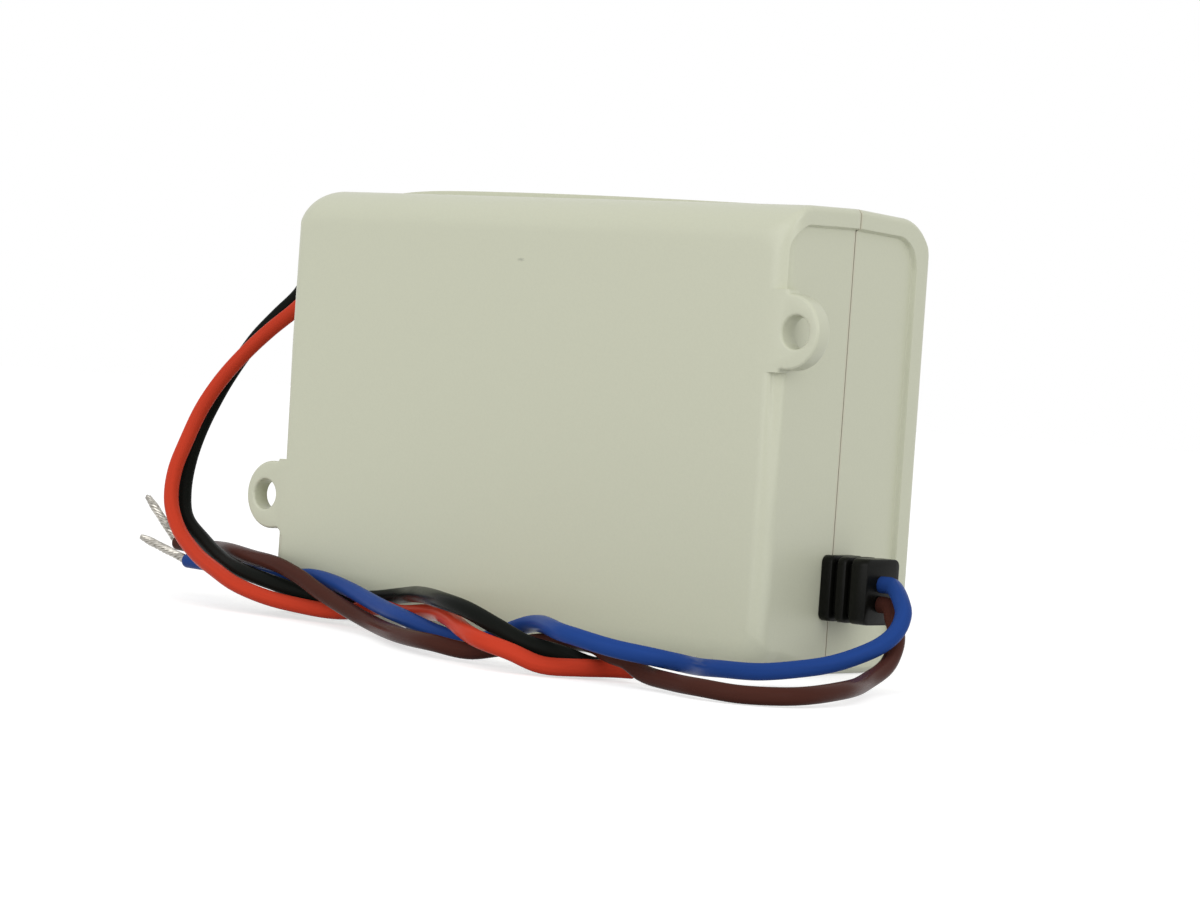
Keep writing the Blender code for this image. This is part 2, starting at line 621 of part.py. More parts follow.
def blend(first, second, t, start, end):
    """The straight mix of two points or two rows of points as t goes from start to end."""
    return ((end - t) * first + (t - start) * second) / (end - start)


def smooth_curve(route, spacing):
    """Points on a curve through the route's points: its first two, then at an even spacing.

    The first two are kept so that the cord leaves its exit straight. Each stretch is the
    centripetal Catmull-Rom curve of its four nearest points, which rounds the corners without
    overshooting them.
    """
    points = np.array(route, dtype=float)
    first, last = 2 * points[0] - points[1], 2 * points[-1] - points[-2]
    padded = np.vstack([first, points, last])
    samples = []
    for i in range(len(points) - 1):
        p = padded[i : i + 4]
        knots = np.concatenate([[0.0], np.cumsum(np.linalg.norm(np.diff(p, axis=0), axis=1) ** 0.5)])
        t = np.linspace(knots[1], knots[2], CURVE_STEPS, endpoint=False)[:, None]
        for span in (1, 2):
            p = [blend(p[k], p[k + 1], t, knots[k], knots[k + span]) for k in range(4 - span)]
        samples.append(blend(p[0], p[1], t, knots[1], knots[2]))
    dense = np.vstack(samples + [points[-1:]])
    run = np.concatenate([[0.0], np.cumsum(np.linalg.norm(np.diff(dense, axis=0), axis=1))])
    straight = run[CURVE_STEPS]
    count = max(2, round((run[-1] - straight) / spacing) + 1)
    places = np.concatenate([[0.0], np.linspace(straight, run[-1], count)])
    return np.stack([np.interp(places, run, dense[:, axis]) for axis in range(3)], axis=1)


def tube(name, points, diameter, finish):
    """A round cable: a curve object with a bevel and filled caps. Depth counts from the base face."""
    data = bpy.data.curves.new(name, "CURVE")
    data.dimensions = "3D"
    data.bevel_depth = diameter / 2 * MM
    data.bevel_resolution = 2
    data.use_fill_caps = True
    line = data.splines.new("POLY")
    line.points.add(len(points) - 1)
    for target, (x, depth, z) in zip(line.points, points):
        target.co = (x * MM, (BASE_Y + depth) * MM, z * MM, 1.0)
    data.materials.append(finish)
    item = bpy.data.objects.new(name, data)
    bpy.context.scene.collection.objects.link(item)


def build_wires(tin):
    wires = (
        ("blue", BLUE_ROUTE, BLUE_TIP_END, BLUE_COLOUR, 1, UPPER_LEAD_OFFSET),
        ("brown", BROWN_ROUTE, BROWN_TIP_END, BROWN_COLOUR, 1, LOWER_LEAD_OFFSET),
        ("red", RED_ROUTE, RED_TIP_END, RED_COLOUR, -1, UPPER_LEAD_OFFSET),
        ("black", BLACK_ROUTE, BLACK_TIP_END, BLACK_COLOUR, -1, LOWER_LEAD_OFFSET),
    )
    for colour_name, route, tip_end, colour, side, offset in wires:
        finish = material("wire_" + colour_name, colour, 0.4)
        tube("wire_" + colour_name, smooth_curve(route, WIRE_POINT_SPACING), WIRE_DIAMETER, finish)
        end = np.array(route[-1])
        way = np.array(tip_end) - end
        way /= np.linalg.norm(way)
        start = end + way * (GAP + 0.1)
        tube("tinned_end_" + colour_name, [start, start + way * TIP_LENGTH], TIP_DIAMETER, tin)
        build_lead(colour_name, side, offset, finish)


def build_lead(colour_name, side, offset, finish):
    """The same wire inside the case, from its strain relief down to the board.

    The left pair is the right pair turned half round about the depth axis.
    """
    x = HALF_LENGTH - WALL - GAP - RELIEF_INNER_FLANGE - GAP
    depth, z = RELIEF_CENTRE_DEPTH, RELIEF_CENTRE_HEIGHT + offset
    route = [
        (x, depth, z),
        (x - LEAD_STRAIGHT, depth - LEAD_SAG, z),
        (x - LEAD_STRAIGHT - LEAD_TURN, depth - LEAD_TURN - LEAD_SAG, z),
        (x - LEAD_STRAIGHT - LEAD_TURN, PARTS_Y - BASE_Y, z),
    ]
    points = smooth_curve(route, LEAD_DIAMETER)
    if side < 0:
        points = points * np.array([-1.0, 1.0, -1.0]) + np.array([0.0, 0.0, CASE_HEIGHT])
    tube("inner_lead_" + colour_name, points, LEAD_DIAMETER, finish)


def build_board(board_finish, sheet_finish):
    half = BOARD_LENGTH / 2
    low, high = (-half, BOARD_Y, BOARD_Z), (half, BOARD_TOP_Y, BOARD_TOP_Z)
    block("circuit_board", low, high, board_finish)
    half, rise, middle = SHEET_LENGTH / 2, SHEET_HEIGHT / 2, CASE_HEIGHT / 2
    low_y = BASE_Y + WALL + GAP
    low, high = (-half, low_y, middle - rise), (half, low_y + SHEET_THICKNESS, middle + rise)
    block("insulating_sheet", low, high, sheet_finish)


def place(across, x, edge, z, *sizes):
    """Turns a place counted from the board's ends and edges into case coordinates."""
    half = BOARD_LENGTH / 2
    x = {"input": half - x, "output": x - half, "middle": x}[across]
    z = {"upper": BOARD_TOP_Z - z, "lower": BOARD_Z + z}[edge]
    return (x, z, *sizes)


def on_board(name, x, z, length, width, height, finish, radius=0.0):
    """A box-shaped part that stands on the board, given by its middle and its size."""
    low = (x - length / 2, PARTS_Y, z - width / 2)
    high = (x + length / 2, PARTS_Y + height, z + width / 2)
    block(name, low, high, finish, radius)


def can(name, x, z, diameter, height, finish):
    """A standing round part such as a capacitor, with a rolled groove and eased rims."""
    r = diameter / 2
    waist = r * 0.92
    profile = (
        (r * 0.88, 0.0), (r, 0.5), (r, 1.4), (waist, 1.8), (waist, 2.1), (r, 2.5),
        (r, height - 0.6), (r * 0.9, height),
    )
    turned(name, (x, PARTS_Y, z), profile, finish)


def disc(name, x, z, diameter, thickness, finish):
    """A disc-shaped part on edge: its axis runs along X and its lowest point faces the board."""
    r, half = diameter / 2, thickness / 2
    profile = ((r * 0.7, -half), (r * 0.92, -half * 0.7), (r, 0.0), (r * 0.92, half * 0.7), (r * 0.7, half))
    turned(name, (x, PARTS_Y + r, z), profile, finish, axis="X")


def barrel(name, x, z, diameter, length, finish, axis="X"):
    """An axial part lying on the board: a rod that is a little thicker at both ends."""
    r, half = diameter / 2, length / 2
    profile = (
        (r * 0.8, -half), (r, -half * 0.92), (r, -half * 0.62), (r * 0.88, -half * 0.5),
        (r * 0.88, half * 0.5), (r, half * 0.62), (r, half * 0.92), (r * 0.8, half),
    )
    turned(name, (x, PARTS_Y + r, z), profile, finish, axis=axis, segments=18)


def sleeve(name, outer_low, outer_high, inner_low, inner_high, finish, axis):
    """A winding: a block with round edges and a straight rectangular way through it."""
    a, b, along = {"X": (1, 2, 0), "Y": (0, 2, 1), "Z": (0, 1, 2)}[axis]
    rings = []
    for low, high, radius, level in (
        (outer_low, outer_high, WINDING_RADIUS, outer_low[along]),
        (outer_low, outer_high, WINDING_RADIUS, outer_high[along]),
        (inner_low, inner_high, WINDING_BORE_RADIUS, outer_high[along]),
        (inner_low, inner_high, WINDING_BORE_RADIUS, outer_low[along]),
    ):
        ring = []
        for u, v in rounded_outline(low[a], high[a], low[b], high[b], (radius,) * 4, 3):
            point = [0.0, 0.0, 0.0]
            point[a], point[b], point[along] = u, v, level
            ring.append(tuple(point))
        rings.append(ring)
    return new_object(name, mesh_from_rings(name, rings, closed=True), finish)


def build_transformer(ferrite, tape, plastic):
    """A three-legged ferrite core, the wound sleeve on its middle leg and the pin rail below."""
    x, z = place(*TRANSFORMER_PLACE)
    half_x, half_z = TRANSFORMER_LENGTH / 2, TRANSFORMER_CORE_WIDTH / 2
    low_y = PARTS_Y + TRANSFORMER_RAIL + GAP
    high_y = CEILING_Y - TRANSFORMER_HEADROOM
    low, high = (x - half_x, low_y, z - half_z), (x + half_x, high_y, z + half_z)
    core = block("transformer_core", low, high, ferrite)
    leg = TRANSFORMER_LEG
    window_low, window_high = low_y + leg, high_y - leg
    for side in (-1, 1):
        inner, outer = x + side * TRANSFORMER_MIDDLE_LEG / 2, x + side * (half_x - leg)
        low = (min(inner, outer), window_low, z - half_z - 1.0)
        high = (max(inner, outer), window_high, z + half_z + 1.0)
        boolean(core, hide_tool(block(f"window_tool_{side}", low, high, None)), "DIFFERENCE")
    coil_x, bulge = half_x - leg - GAP, TRANSFORMER_COIL_BULGE
    leg_x = TRANSFORMER_MIDDLE_LEG / 2 + GAP
    sleeve(
        "transformer_winding",
        (x - coil_x, window_low + GAP, z - half_z - bulge),
        (x + coil_x, window_high - GAP, z + half_z + bulge),
        (x - leg_x, window_low + GAP, z - half_z - GAP),
        (x + leg_x, window_high - GAP, z + half_z + GAP),
        tape,
        "Y",
    )
    low = (x - half_x, PARTS_Y, z - half_z - bulge)
    high = (x + half_x, PARTS_Y + TRANSFORMER_RAIL, z + half_z + bulge)
    block("transformer_pin_rail", low, high, plastic)


def build_choke(ferrite, enamel):
    """A rectangular ferrite ring on edge with a coil on each upright leg."""
    x, z = place(*CHOKE_PLACE)
    half, leg, thick = CHOKE_LENGTH / 2, CHOKE_LEG, CHOKE_THICKNESS / 2
    low_y, high_y = PARTS_Y + GAP, CEILING_Y - CHOKE_HEADROOM
    sleeve(
        "choke_core",
        (x - half, low_y, z - thick),
        (x + half, high_y, z + thick),
        (x - half + leg, low_y + leg, z - thick),
        (x + half - leg, high_y - leg, z + thick),
        ferrite,
        "Z",
    )
    coil = CHOKE_COIL_WALL
    reach = half - leg / 2
    for name, leg_x in (("choke_winding_line", x - reach), ("choke_winding_neutral", x + reach)):
        sleeve(
            name,
            (leg_x - leg / 2 - coil, low_y + leg + GAP, z - thick - coil),
            (leg_x + leg / 2 + coil, high_y - leg - GAP, z + thick + coil),
            (leg_x - leg / 2 - GAP, low_y + leg + GAP, z - thick - GAP),
            (leg_x + leg / 2 + GAP, high_y - leg - GAP, z + thick + GAP),
            enamel,
            "Y",
        )


def build_board_parts():
    black = material("moulding_black", (0.02, 0.02, 0.022), 0.45)
    yellow = material("film_yellow", (0.75, 0.45, 0.03), 0.5)
    ferrite = material("ferrite", (0.05, 0.05, 0.055), 0.6)
    tape = material("winding_tape", (0.80, 0.62, 0.08), 0.45)
    enamel = material("enamelled_copper", (0.55, 0.20, 0.06), 0.35, 0.8)
    sleeve_finish = material("capacitor_sleeve", (0.03, 0.05, 0.12), 0.4)
    blue_disc = material("disc_blue", (0.03, 0.12, 0.40), 0.5)
    green_disc = material("disc_green", (0.05, 0.22, 0.10), 0.5)
    beige = material("resistor_body", (0.55, 0.42, 0.24), 0.6)
    aluminium = material("heatsink_aluminium", (0.62, 0.63, 0.65), 0.35, 1.0)
    build_transformer(ferrite, tape, black)
    build_choke(ferrite, enamel)
    room = PARTS_ROOM
    on_board("bridge_rectifier", *place(*BRIDGE_RECTIFIER), BRIDGE_HEIGHT, black, 0.4)
    on_board("mosfet_heatsink", *place(*MOSFET_HEATSINK), room - HEATSINK_HEADROOM, aluminium)
    on_board("switching_mosfet", *place(*SWITCHING_MOSFET), room - MOSFET_HEADROOM, black, 0.4)
    on_board("controller_chip", *place(*CONTROLLER_CHIP), CHIP_HEIGHT, black)
    on_board("fuse", *place(*FUSE), FUSE_HEIGHT, black, 0.8)
    on_board("x_capacitor", *place(*X_CAPACITOR), room - X_CAPACITOR_HEADROOM, yellow, 0.6)
    on_board("optocoupler", *place(*OPTOCOUPLER), OPTOCOUPLER_HEIGHT, black, 0.3)
    can("bulk_capacitor", *place(*BULK_CAPACITOR), room - BULK_HEADROOM, sleeve_finish)
    can("output_capacitor_1", *place(*OUTPUT_CAPACITOR_1), room - OUTPUT_1_HEADROOM, sleeve_finish)
    can("output_capacitor_2", *place(*OUTPUT_CAPACITOR_2), room - OUTPUT_2_HEADROOM, sleeve_finish)
    can("output_choke", *place(*OUTPUT_CHOKE), OUTPUT_CHOKE_HEIGHT, ferrite)
    disc("varistor", *place(*VARISTOR), VARISTOR_THICKNESS, blue_disc)
    disc("inrush_thermistor", *place(*INRUSH_THERMISTOR), THERMISTOR_THICKNESS, green_disc)
    disc("safety_capacitor", *place(*SAFETY_CAPACITOR), SAFETY_THICKNESS, blue_disc)
    barrel("snubber_resistor", *place(*SNUBBER_RESISTOR), SNUBBER_LENGTH, beige)
    barrel("sense_resistor", *place(*SENSE_RESISTOR), SENSE_LENGTH, beige)
    barrel("output_diode", *place(*OUTPUT_DIODE), DIODE_LENGTH, black, axis="Z")


def build():
    clear_scene()
    build_shells(material("case_plastic", CASE_COLOUR, 0.5))
    build_label(material("label_film", (0.72, 0.72, 0.70), 0.4))
    build_reliefs(material("relief_rubber", RUBBER_COLOUR, 0.5))
    build_wires(material("tinned_copper", TIN_COLOUR, 0.3, 1.0))
    laminate = material("board_laminate", (0.05, 0.20, 0.07), 0.5)
    build_board(laminate, material("sheet_film", (0.6, 0.6, 0.55), 0.5))
    build_board_parts()


build()
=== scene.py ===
# %% [markdown]
# # A sealed LED driver standing on its side
#
# This is a small plastic box with two fixing lugs on a diagonal and two pairs of wires that
# leave it through black rubber blocks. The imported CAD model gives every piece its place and
# its size. This script dresses it: each cell makes one piece or one finish, says what the real
# one is, and prints what it made.

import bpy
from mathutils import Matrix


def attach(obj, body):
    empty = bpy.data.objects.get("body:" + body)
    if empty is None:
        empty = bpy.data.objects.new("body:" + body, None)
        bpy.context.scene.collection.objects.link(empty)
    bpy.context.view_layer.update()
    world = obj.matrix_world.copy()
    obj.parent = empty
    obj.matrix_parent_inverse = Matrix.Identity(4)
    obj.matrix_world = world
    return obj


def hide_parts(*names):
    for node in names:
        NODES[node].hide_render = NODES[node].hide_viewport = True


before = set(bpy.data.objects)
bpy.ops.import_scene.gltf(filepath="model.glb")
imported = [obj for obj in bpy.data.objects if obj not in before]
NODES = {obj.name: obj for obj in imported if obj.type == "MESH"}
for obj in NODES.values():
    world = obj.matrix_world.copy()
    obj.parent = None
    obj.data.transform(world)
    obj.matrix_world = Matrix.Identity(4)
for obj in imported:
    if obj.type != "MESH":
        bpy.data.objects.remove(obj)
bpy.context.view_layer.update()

# %% Tools and units
import math

import bpy
import numpy as np
from mathutils import Matrix, Vector

MM = 0.001

# %% [markdown]
# ## The camera
#
# A photograph fixes where its camera stood, once the size of something in it is known. Here the
# corners of the case were matched by least squares, which gives a place, three directions and
# a focal length. Writing the directions down as a matrix is safer than three angles, because
# nothing depends on the order of turns.

# %% The camera
CAMERA_PLACE = (0.28221, -0.33447, 0.0330)
CAMERA_RIGHT = Vector((0.7643507, 0.64092539, 0.07058795))
CAMERA_UP = Vector((-0.06573694, -0.03144548, 0.99734138))
CAMERA_BACK = CAMERA_RIGHT.cross(CAMERA_UP)
SENSOR_WIDTH, LENS = 36.0, 101.14

camera_data = bpy.data.cameras.new("camera")
camera_data.sensor_width = SENSOR_WIDTH
camera_data.lens = LENS
camera = bpy.data.objects.new("camera", camera_data)
turn = Matrix((CAMERA_RIGHT, CAMERA_UP, CAMERA_BACK)).transposed().to_4x4()
camera.matrix_world = Matrix.Translation(CAMERA_PLACE) @ turn
bpy.context.scene.collection.objects.link(camera)
bpy.context.scene.camera = camera
print("camera at", CAMERA_PLACE, "lens", round(camera_data.lens, 2), "mm")

# %% [markdown]
# ## From a grid of points to a piece
#
# Nearly every piece here is one grid: rows of points along it and columns round it. A grid
# can be worked out as whole arrays, and its faces follow from the numbering alone, so two small
# helpers turn such arrays into a closed mesh. Whether the faces look outwards is found from the
# enclosed volume, which comes out negative when they look inwards.


# %% Grid to mesh
SHARP_ANGLE = 35.0


def grid_faces(rows, columns, start=0):
    """Quads between neighbouring rows and columns of a grid that runs round, and two end caps."""
    index = start + np.arange(rows * columns).reshape(rows, columns)
    after = np.roll(index, -1, axis=1)
    quads = np.stack([index[:-1], after[:-1], after[1:], index[1:]], axis=-1)
    return quads.reshape(-1, 4).tolist() + [index[0][::-1].tolist(), index[-1].tolist()]


def mesh_of_grids(name, grids):
    """One mesh in metres from closed grids in millimetres, with every face looking outwards.

    A closed grid's volume is a sixth of the sum over its triangles of the triple product of
    their corners, so a grid whose sum is negative has its columns turned round first.
    """
    points, faces, start = [], [], 0
    for grid in grids:
        grid = np.asarray(grid, dtype=float)
        ring = np.roll(grid, -1, axis=1)
        centre = grid.mean(axis=(0, 1))
        a, b, c, d = (p - centre for p in (grid[:-1], ring[:-1], ring[1:], grid[1:]))
        sides = (a * np.cross(b, c)).sum() + (a * np.cross(c, d)).sum()
        low, low_next, low_mid = grid[0] - centre, ring[0] - centre, grid[0].mean(0) - centre
        high, high_next, high_mid = grid[-1] - centre, ring[-1] - centre, grid[-1].mean(0) - centre
        caps = (np.cross(low_next, low) @ low_mid).sum()
        caps += (np.cross(high, high_next) @ high_mid).sum()
        if sides + caps < 0:
            grid = grid[:, ::-1]
        points.append(grid.reshape(-1, 3) * MM)
        faces += grid_faces(grid.shape[0], grid.shape[1], start)
        start += grid.shape[0] * grid.shape[1]
    mesh = bpy.data.meshes.new(name)
    mesh.from_pydata(np.vstack(points).tolist(), [], faces)
    return mesh


def new_piece(name, mesh):
    """Puts a mesh into the scene as an object that sits at the origin."""
    made = bpy.data.objects.new(name, mesh)
    bpy.context.scene.collection.objects.link(made)
    return made


def dress(made, material, nodes):
    """Shades a piece smooth up to 35 degrees, gives it its finish, hangs it on the root and hides
    its CAD nodes.
    """
    made.data.shade_smooth()
    made.data.set_sharp_from_angle(angle=math.radians(SHARP_ANGLE))
    made.data.materials.clear()
    made.data.materials.append(material)
    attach(made, "root")
    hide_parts(*nodes)
    print(made.name, "has", len(made.data.polygons), "faces and stands for", ", ".join(nodes))


# %% [markdown]
# ## One recipe for a finish, and its variations
#
# No moulded or cut material is one flat colour. Each finish here mixes two close shades with a
# noise at the grain's own size, lets the roughness drift with a second noise, and lifts the
# surface a little with a bump. The noises read Object coordinates, so nothing slides. A small
# helper makes each node together with its inputs, so a recipe reads as one step after another.


# %% Helpers for nodes
def add_node(tree, kind, output, inputs=None, **settings):
    """Makes a node, sets or links the inputs that are given, and returns one of its outputs."""
    node = tree.nodes.new(kind)
    for name, value in settings.items():
        setattr(node, name, value)
    for name, value in (inputs or {}).items():
        if isinstance(value, bpy.types.NodeSocket):
            tree.links.new(value, node.inputs[name])
        else:
            node.inputs[name].default_value = value
    return node.outputs[output]


def maths(tree, operation, *values):
    """The result of a Math node: the operation on one or two numbers or sockets."""
    return add_node(tree, "ShaderNodeMath", "Value", dict(enumerate(values)), operation=operation)


# %% A finish with grain
GRAIN_STOPS, GRAIN_DETAIL = (0.3, 0.7), 4.0
DRIFT_SCALE, GLOSS_DRIFT = 0.3, 0.15


def finish(name, colour, roughness, mottle=0.06, size=1.0, bump=0.01, metallic=0.0, where=None):
    """A grainy material: shade = colour x (1 +- mottle), with a noise whose grains are size mm.

    The roughness drifts by 15% either way, with a noise about three times as coarse.
    """
    made = bpy.data.materials.new(name)
    made.use_nodes = True
    tree = made.node_tree
    shader = tree.nodes["Principled BSDF"]
    shader.inputs["Metallic"].default_value = metallic
    if where is None:
        place = add_node(tree, "ShaderNodeTexCoord", "Object")
    else:
        place = add_node(tree, "ShaderNodeAttribute", "Vector", attribute_name=where)
    grain = add_node(tree, "ShaderNodeTexNoise", "Fac", {
        "Vector": place, "Scale": 1.0 / (size * MM), "Detail": GRAIN_DETAIL})
    shades = add_node(tree, "ShaderNodeValToRGB", "Color", {"Fac": grain})
    stops = shades.node.color_ramp.elements
    for stop, at, share in zip(stops, GRAIN_STOPS, (1 - mottle, 1 + mottle)):
        stop.position = at
        stop.color = tuple(min(1.0, c * share) for c in colour) + (1.0,)
    drift = add_node(tree, "ShaderNodeTexNoise", "Fac", {
        "Vector": place, "Scale": DRIFT_SCALE / (size * MM)})
    gloss = add_node(tree, "ShaderNodeMapRange", "Result", {
        "Value": drift, "To Min": roughness * (1 - GLOSS_DRIFT),
        "To Max": min(1.0, roughness * (1 + GLOSS_DRIFT))})
    lift = add_node(tree, "ShaderNodeBump", "Normal", {"Distance": bump * MM, "Height": grain})
    for result, socket in ((shades, "Base Color"), (gloss, "Roughness"), (lift, "Normal")):
        tree.links.new(result, shader.inputs[socket])
    return made


# %% [markdown]
# ## Where the wires run
#
# The four wires are the only soft things here. They come first, because whatever they touch has
# to leave room for them. Each is a list of points: how far along the case, how far behind the
# base face, and how high above the table, in millimetres. The CAD source holds the same lists,
# so the drawn wire lies in the space of its solid.

# %% Wire routes
BASE_Y = -14.75
BLUE_ROUTE = [
    (48.3, 14.7, 11.8), (49.8, 14.5, 11.8), (51.6, 13.1, 11.3), (53.7, 11.2, 10.2),
    (55.3, 9.5, 8.9), (56.1, 7.2, 7), (55.8, 4.7, 5.4), (54.5, 1.8, 4),
    (52.7, -0.9, 2.9), (50.6, -4, 2.2), (48.2, -8.4, 1.7), (46.8, -14.1, 2),
    (46.9, -18.1, 2.3), (49.3, -25.2, 3.2), (48.2, -28.7, 3.8), (44.7, -31.2, 4.4),
    (38, -31.3, 5.3), (25.5, -23.2, 5.1), (16.5, -21.8, 2.2), (11.2, -21.1, 2.1),
    (-1.1, -16.8, 3.4), (-8.3, -13, 3.9), (-19.4, -7.3, 5), (-26, -4.3, 5.5),
    (-31.7, -2.3, 5.6), (-38.4, -1.6, 4.8), (-46.2, 0.9, 5), (-57.3, 5.8, 4.8),
    (-66.6, 8.6, 4.7),
]
BROWN_ROUTE = [
    (48.3, 14.7, 9.4), (49.7, 14.5, 9.3), (51.8, 12.5, 7.9), (54.4, 9.8, 5.8),
    (56.2, 5.9, 3.3), (58.4, -1.1, 1.7), (64.8, -15.5, 1.5), (65.4, -25.5, 1.2),
    (61.6, -29.4, 1.1), (56.6, -30.1, 1.3), (51.3, -28.5, 1.3), (45.8, -27, 1.7),
    (43.4, -26.9, 2.8), (40.9, -26.8, 3.2), (36.9, -25.2, 3.9), (32, -23.8, 3.7),
    (28.3, -24.5, 3.3), (23.2, -26.1, 2.1), (19.5, -26.7, 1.4), (13.2, -26.3, 1.7),
    (4, -22, 1.6), (-10.1, -12.7, 1.7), (-19.3, -9.1, 3.1), (-24.5, -7.6, 4.3),
    (-29.8, -6, 5.7), (-35.9, -4.2, 6.8), (-43.1, -1.6, 7.1), (-51.8, 2.7, 7.3),
    (-60, 7.9, 7), (-65.6, 9.9, 6.7), (-72, 11.5, 6.8),
]
RED_ROUTE = [
    (-48.3, 14.9, 45.2), (-49.8, 14.9, 44.9), (-52, 14.6, 43.1), (-54.2, 13.9, 40.9),
    (-57.1, 12.5, 38.1), (-59.7, 10.8, 34.9), (-62.1, 8.8, 31), (-63.7, 6.7, 26.6),
    (-64.3, 4.6, 21.7), (-64, 2.5, 17.5), (-62.4, 0.7, 13.4), (-59.1, -0.7, 9.8),
    (-53.3, -2.6, 6.8), (-47, -4.6, 5), (-41.8, -5.8, 3.6), (-35.4, -5.9, 2.4),
    (-30, -5.5, 1.9), (-24.7, -5.3, 1.7), (-20.8, -5.4, 2), (-15.3, -6.2, 3.1),
    (-10.1, -7.5, 2.9), (0.2, -12.9, 4), (11.4, -22, 4.5), (24.3, -30.7, 3.3),
    (29.8, -31.1, 2.4), (33.5, -30, 1.3), (37, -27.3, 1.3), (39.3, -24.4, 1.4),
    (41.7, -23.6, 1.5),
]
BLACK_ROUTE = [
    (-48.3, 14.9, 47.6), (-49.9, 15.1, 47.5), (-52.6, 15.4, 46.2), (-55.3, 15.7, 43.2),
    (-58.2, 14.9, 40.3), (-60.7, 13.7, 37.2), (-61.8, 13, 35.3), (-63.3, 11.6, 31.9),
    (-64.3, 10.2, 28.6), (-65.1, 8, 23.5), (-64.9, 6.1, 19.1), (-63.6, 4.2, 14.8),
    (-61.3, 2.7, 11.3), (-56, 1.3, 8.4), (-50, -0.9, 6.5), (-43.2, -3.4, 5.3),
    (-35.8, -4.1, 4.2), (-30.2, -3.4, 3.3), (-24.5, -2.9, 3.3), (-18.7, -3.3, 3.9),
    (-12, -5.3, 4.9), (-1.8, -13.1, 6), (13.8, -25.5, 6.7), (20.4, -28.3, 6.2),
    (26.1, -29.1, 4.7), (30.2, -28.7, 3.3), (33.7, -27.2, 2.6), (36.7, -23.7, 1.4),
    (38.4, -21, 2.4),
]

# Where each bare tinned end points to from the last point of its wire
BLUE_TIP_END = (-75.8, 8.0, 7.3)
BROWN_TIP_END = (-79.4, 12.0, 12.8)
RED_TIP_END = (50.6, -24.7, 1.0)
BLACK_TIP_END = (40.9, -14.0, 2.4)
print("route points:", *(len(r) for r in (BLUE_ROUTE, BROWN_ROUTE, RED_ROUTE, BLACK_ROUTE)))

# %% [markdown]
# ## A round wire carried along its route
#
# A wire bends in smooth curves, so its points are joined by a centripetal Catmull-Rom curve,
# which rounds corners without overshooting them. A circle is then carried along it. The circle
# turns as little as it can from one station to the next, as a real wire does when it is bent
# but not twisted. Each point also remembers where it would be if the wire were pulled straight,
# which lets the finish run along the wire.


# %% Smooth curve through a route
WIRE_DIAMETER = 2.05
STEP = 0.8


def blend(first, second, t, start, end):
    """The straight mix of two rows of points as t goes from start to end."""
    return ((end - t) * first + (t - start) * second) / (end - start)


def distance_along(points):
    """How far along a line each of its points is: the running sum of the steps' lengths."""
    return np.append(0.0, np.cumsum(np.linalg.norm(np.diff(points, axis=0), axis=1)))


def read_off(places, run, values):
    """Rows between the rows of a table, by straight interpolation in each of its columns."""
    return np.stack([np.interp(places, run, values[:, k]) for k in range(3)], axis=1)


def smooth_curve(route, steps=24):
    """The centripetal Catmull-Rom curve through the points, cut into even steps.

    A point's share of the curve is the square root of its distance from the last one. Straight
    mixes of neighbouring points are mixed again twice, which leaves one point of the curve.
    """
    points = np.array(route, dtype=float) + (0.0, BASE_Y, 0.0)
    padded = np.vstack([2 * points[0] - points[1], points, 2 * points[-1] - points[-2]])
    samples = []
    for i in range(len(points) - 1):
        p = padded[i : i + 4]
        knots = np.append(0.0, np.cumsum(np.linalg.norm(np.diff(p, axis=0), axis=1) ** 0.5))
        t = np.linspace(knots[1], knots[2], steps, endpoint=False)[:, None]
        for span in (1, 2):
            p = [blend(p[k], p[k + 1], t, knots[k], knots[k + span]) for k in range(4 - span)]
        samples.append(blend(p[0], p[1], t, knots[1], knots[2]))
    dense = np.vstack(samples + [points[-1:]])
    run = distance_along(dense)
    return read_off(np.linspace(0.0, run[-1], round(run[-1] / STEP) + 1), run, dense)


def frames_along(points):
    """A side and an up direction at every station.

    The side direction is the last station's, less its share along the new forward direction.
    """
    forward = np.gradient(points, axis=0)
    forward /= np.linalg.norm(forward, axis=1, keepdims=True)
    side = np.cross(forward[0], (0.0, 0.3, 1.0))
    sides = []
    for ahead in forward:
        side = side - ahead * (side @ ahead)
        side = side / np.linalg.norm(side)
        sides.append(side)
    sides = np.array(sides)
    return sides, np.cross(forward, sides)


# %% Circle carried along
def carry_circle(points, stations, radii, columns):
    """Rings of radius r at a distance s along the line: point + r (cos a side + sin a up).

    Returns the grid and, for the finish, the same grid on a wire that is pulled straight.
    """
    run, stations, radii = distance_along(points), np.array(stations), np.array(radii)[:, None]
    centre, side, up = (read_off(stations, run, v)[:, None]
                        for v in (points, *frames_along(points)))
    angle = np.linspace(0.0, 2 * np.pi, columns, endpoint=False)
    cos, sin = np.cos(angle), np.sin(angle)
    grid = centre + radii[:, :, None] * (cos[None, :, None] * side + sin[None, :, None] * up)
    flat = np.stack([radii * cos, radii * sin, stations[:, None] * np.ones(columns)], axis=-1)
    return grid, flat


# %% [markdown]
# ## Insulated wires
#
# Appliance wire is a bundle of thin strands in a PVC sleeve. The sleeve is cut square, so its
# end shows a ring of plastic round the bundle: the profile turns inwards at the end and goes
# a little way back inside. PVC is slightly glossy and carries faint lines along its length
# from the die it was drawn through.

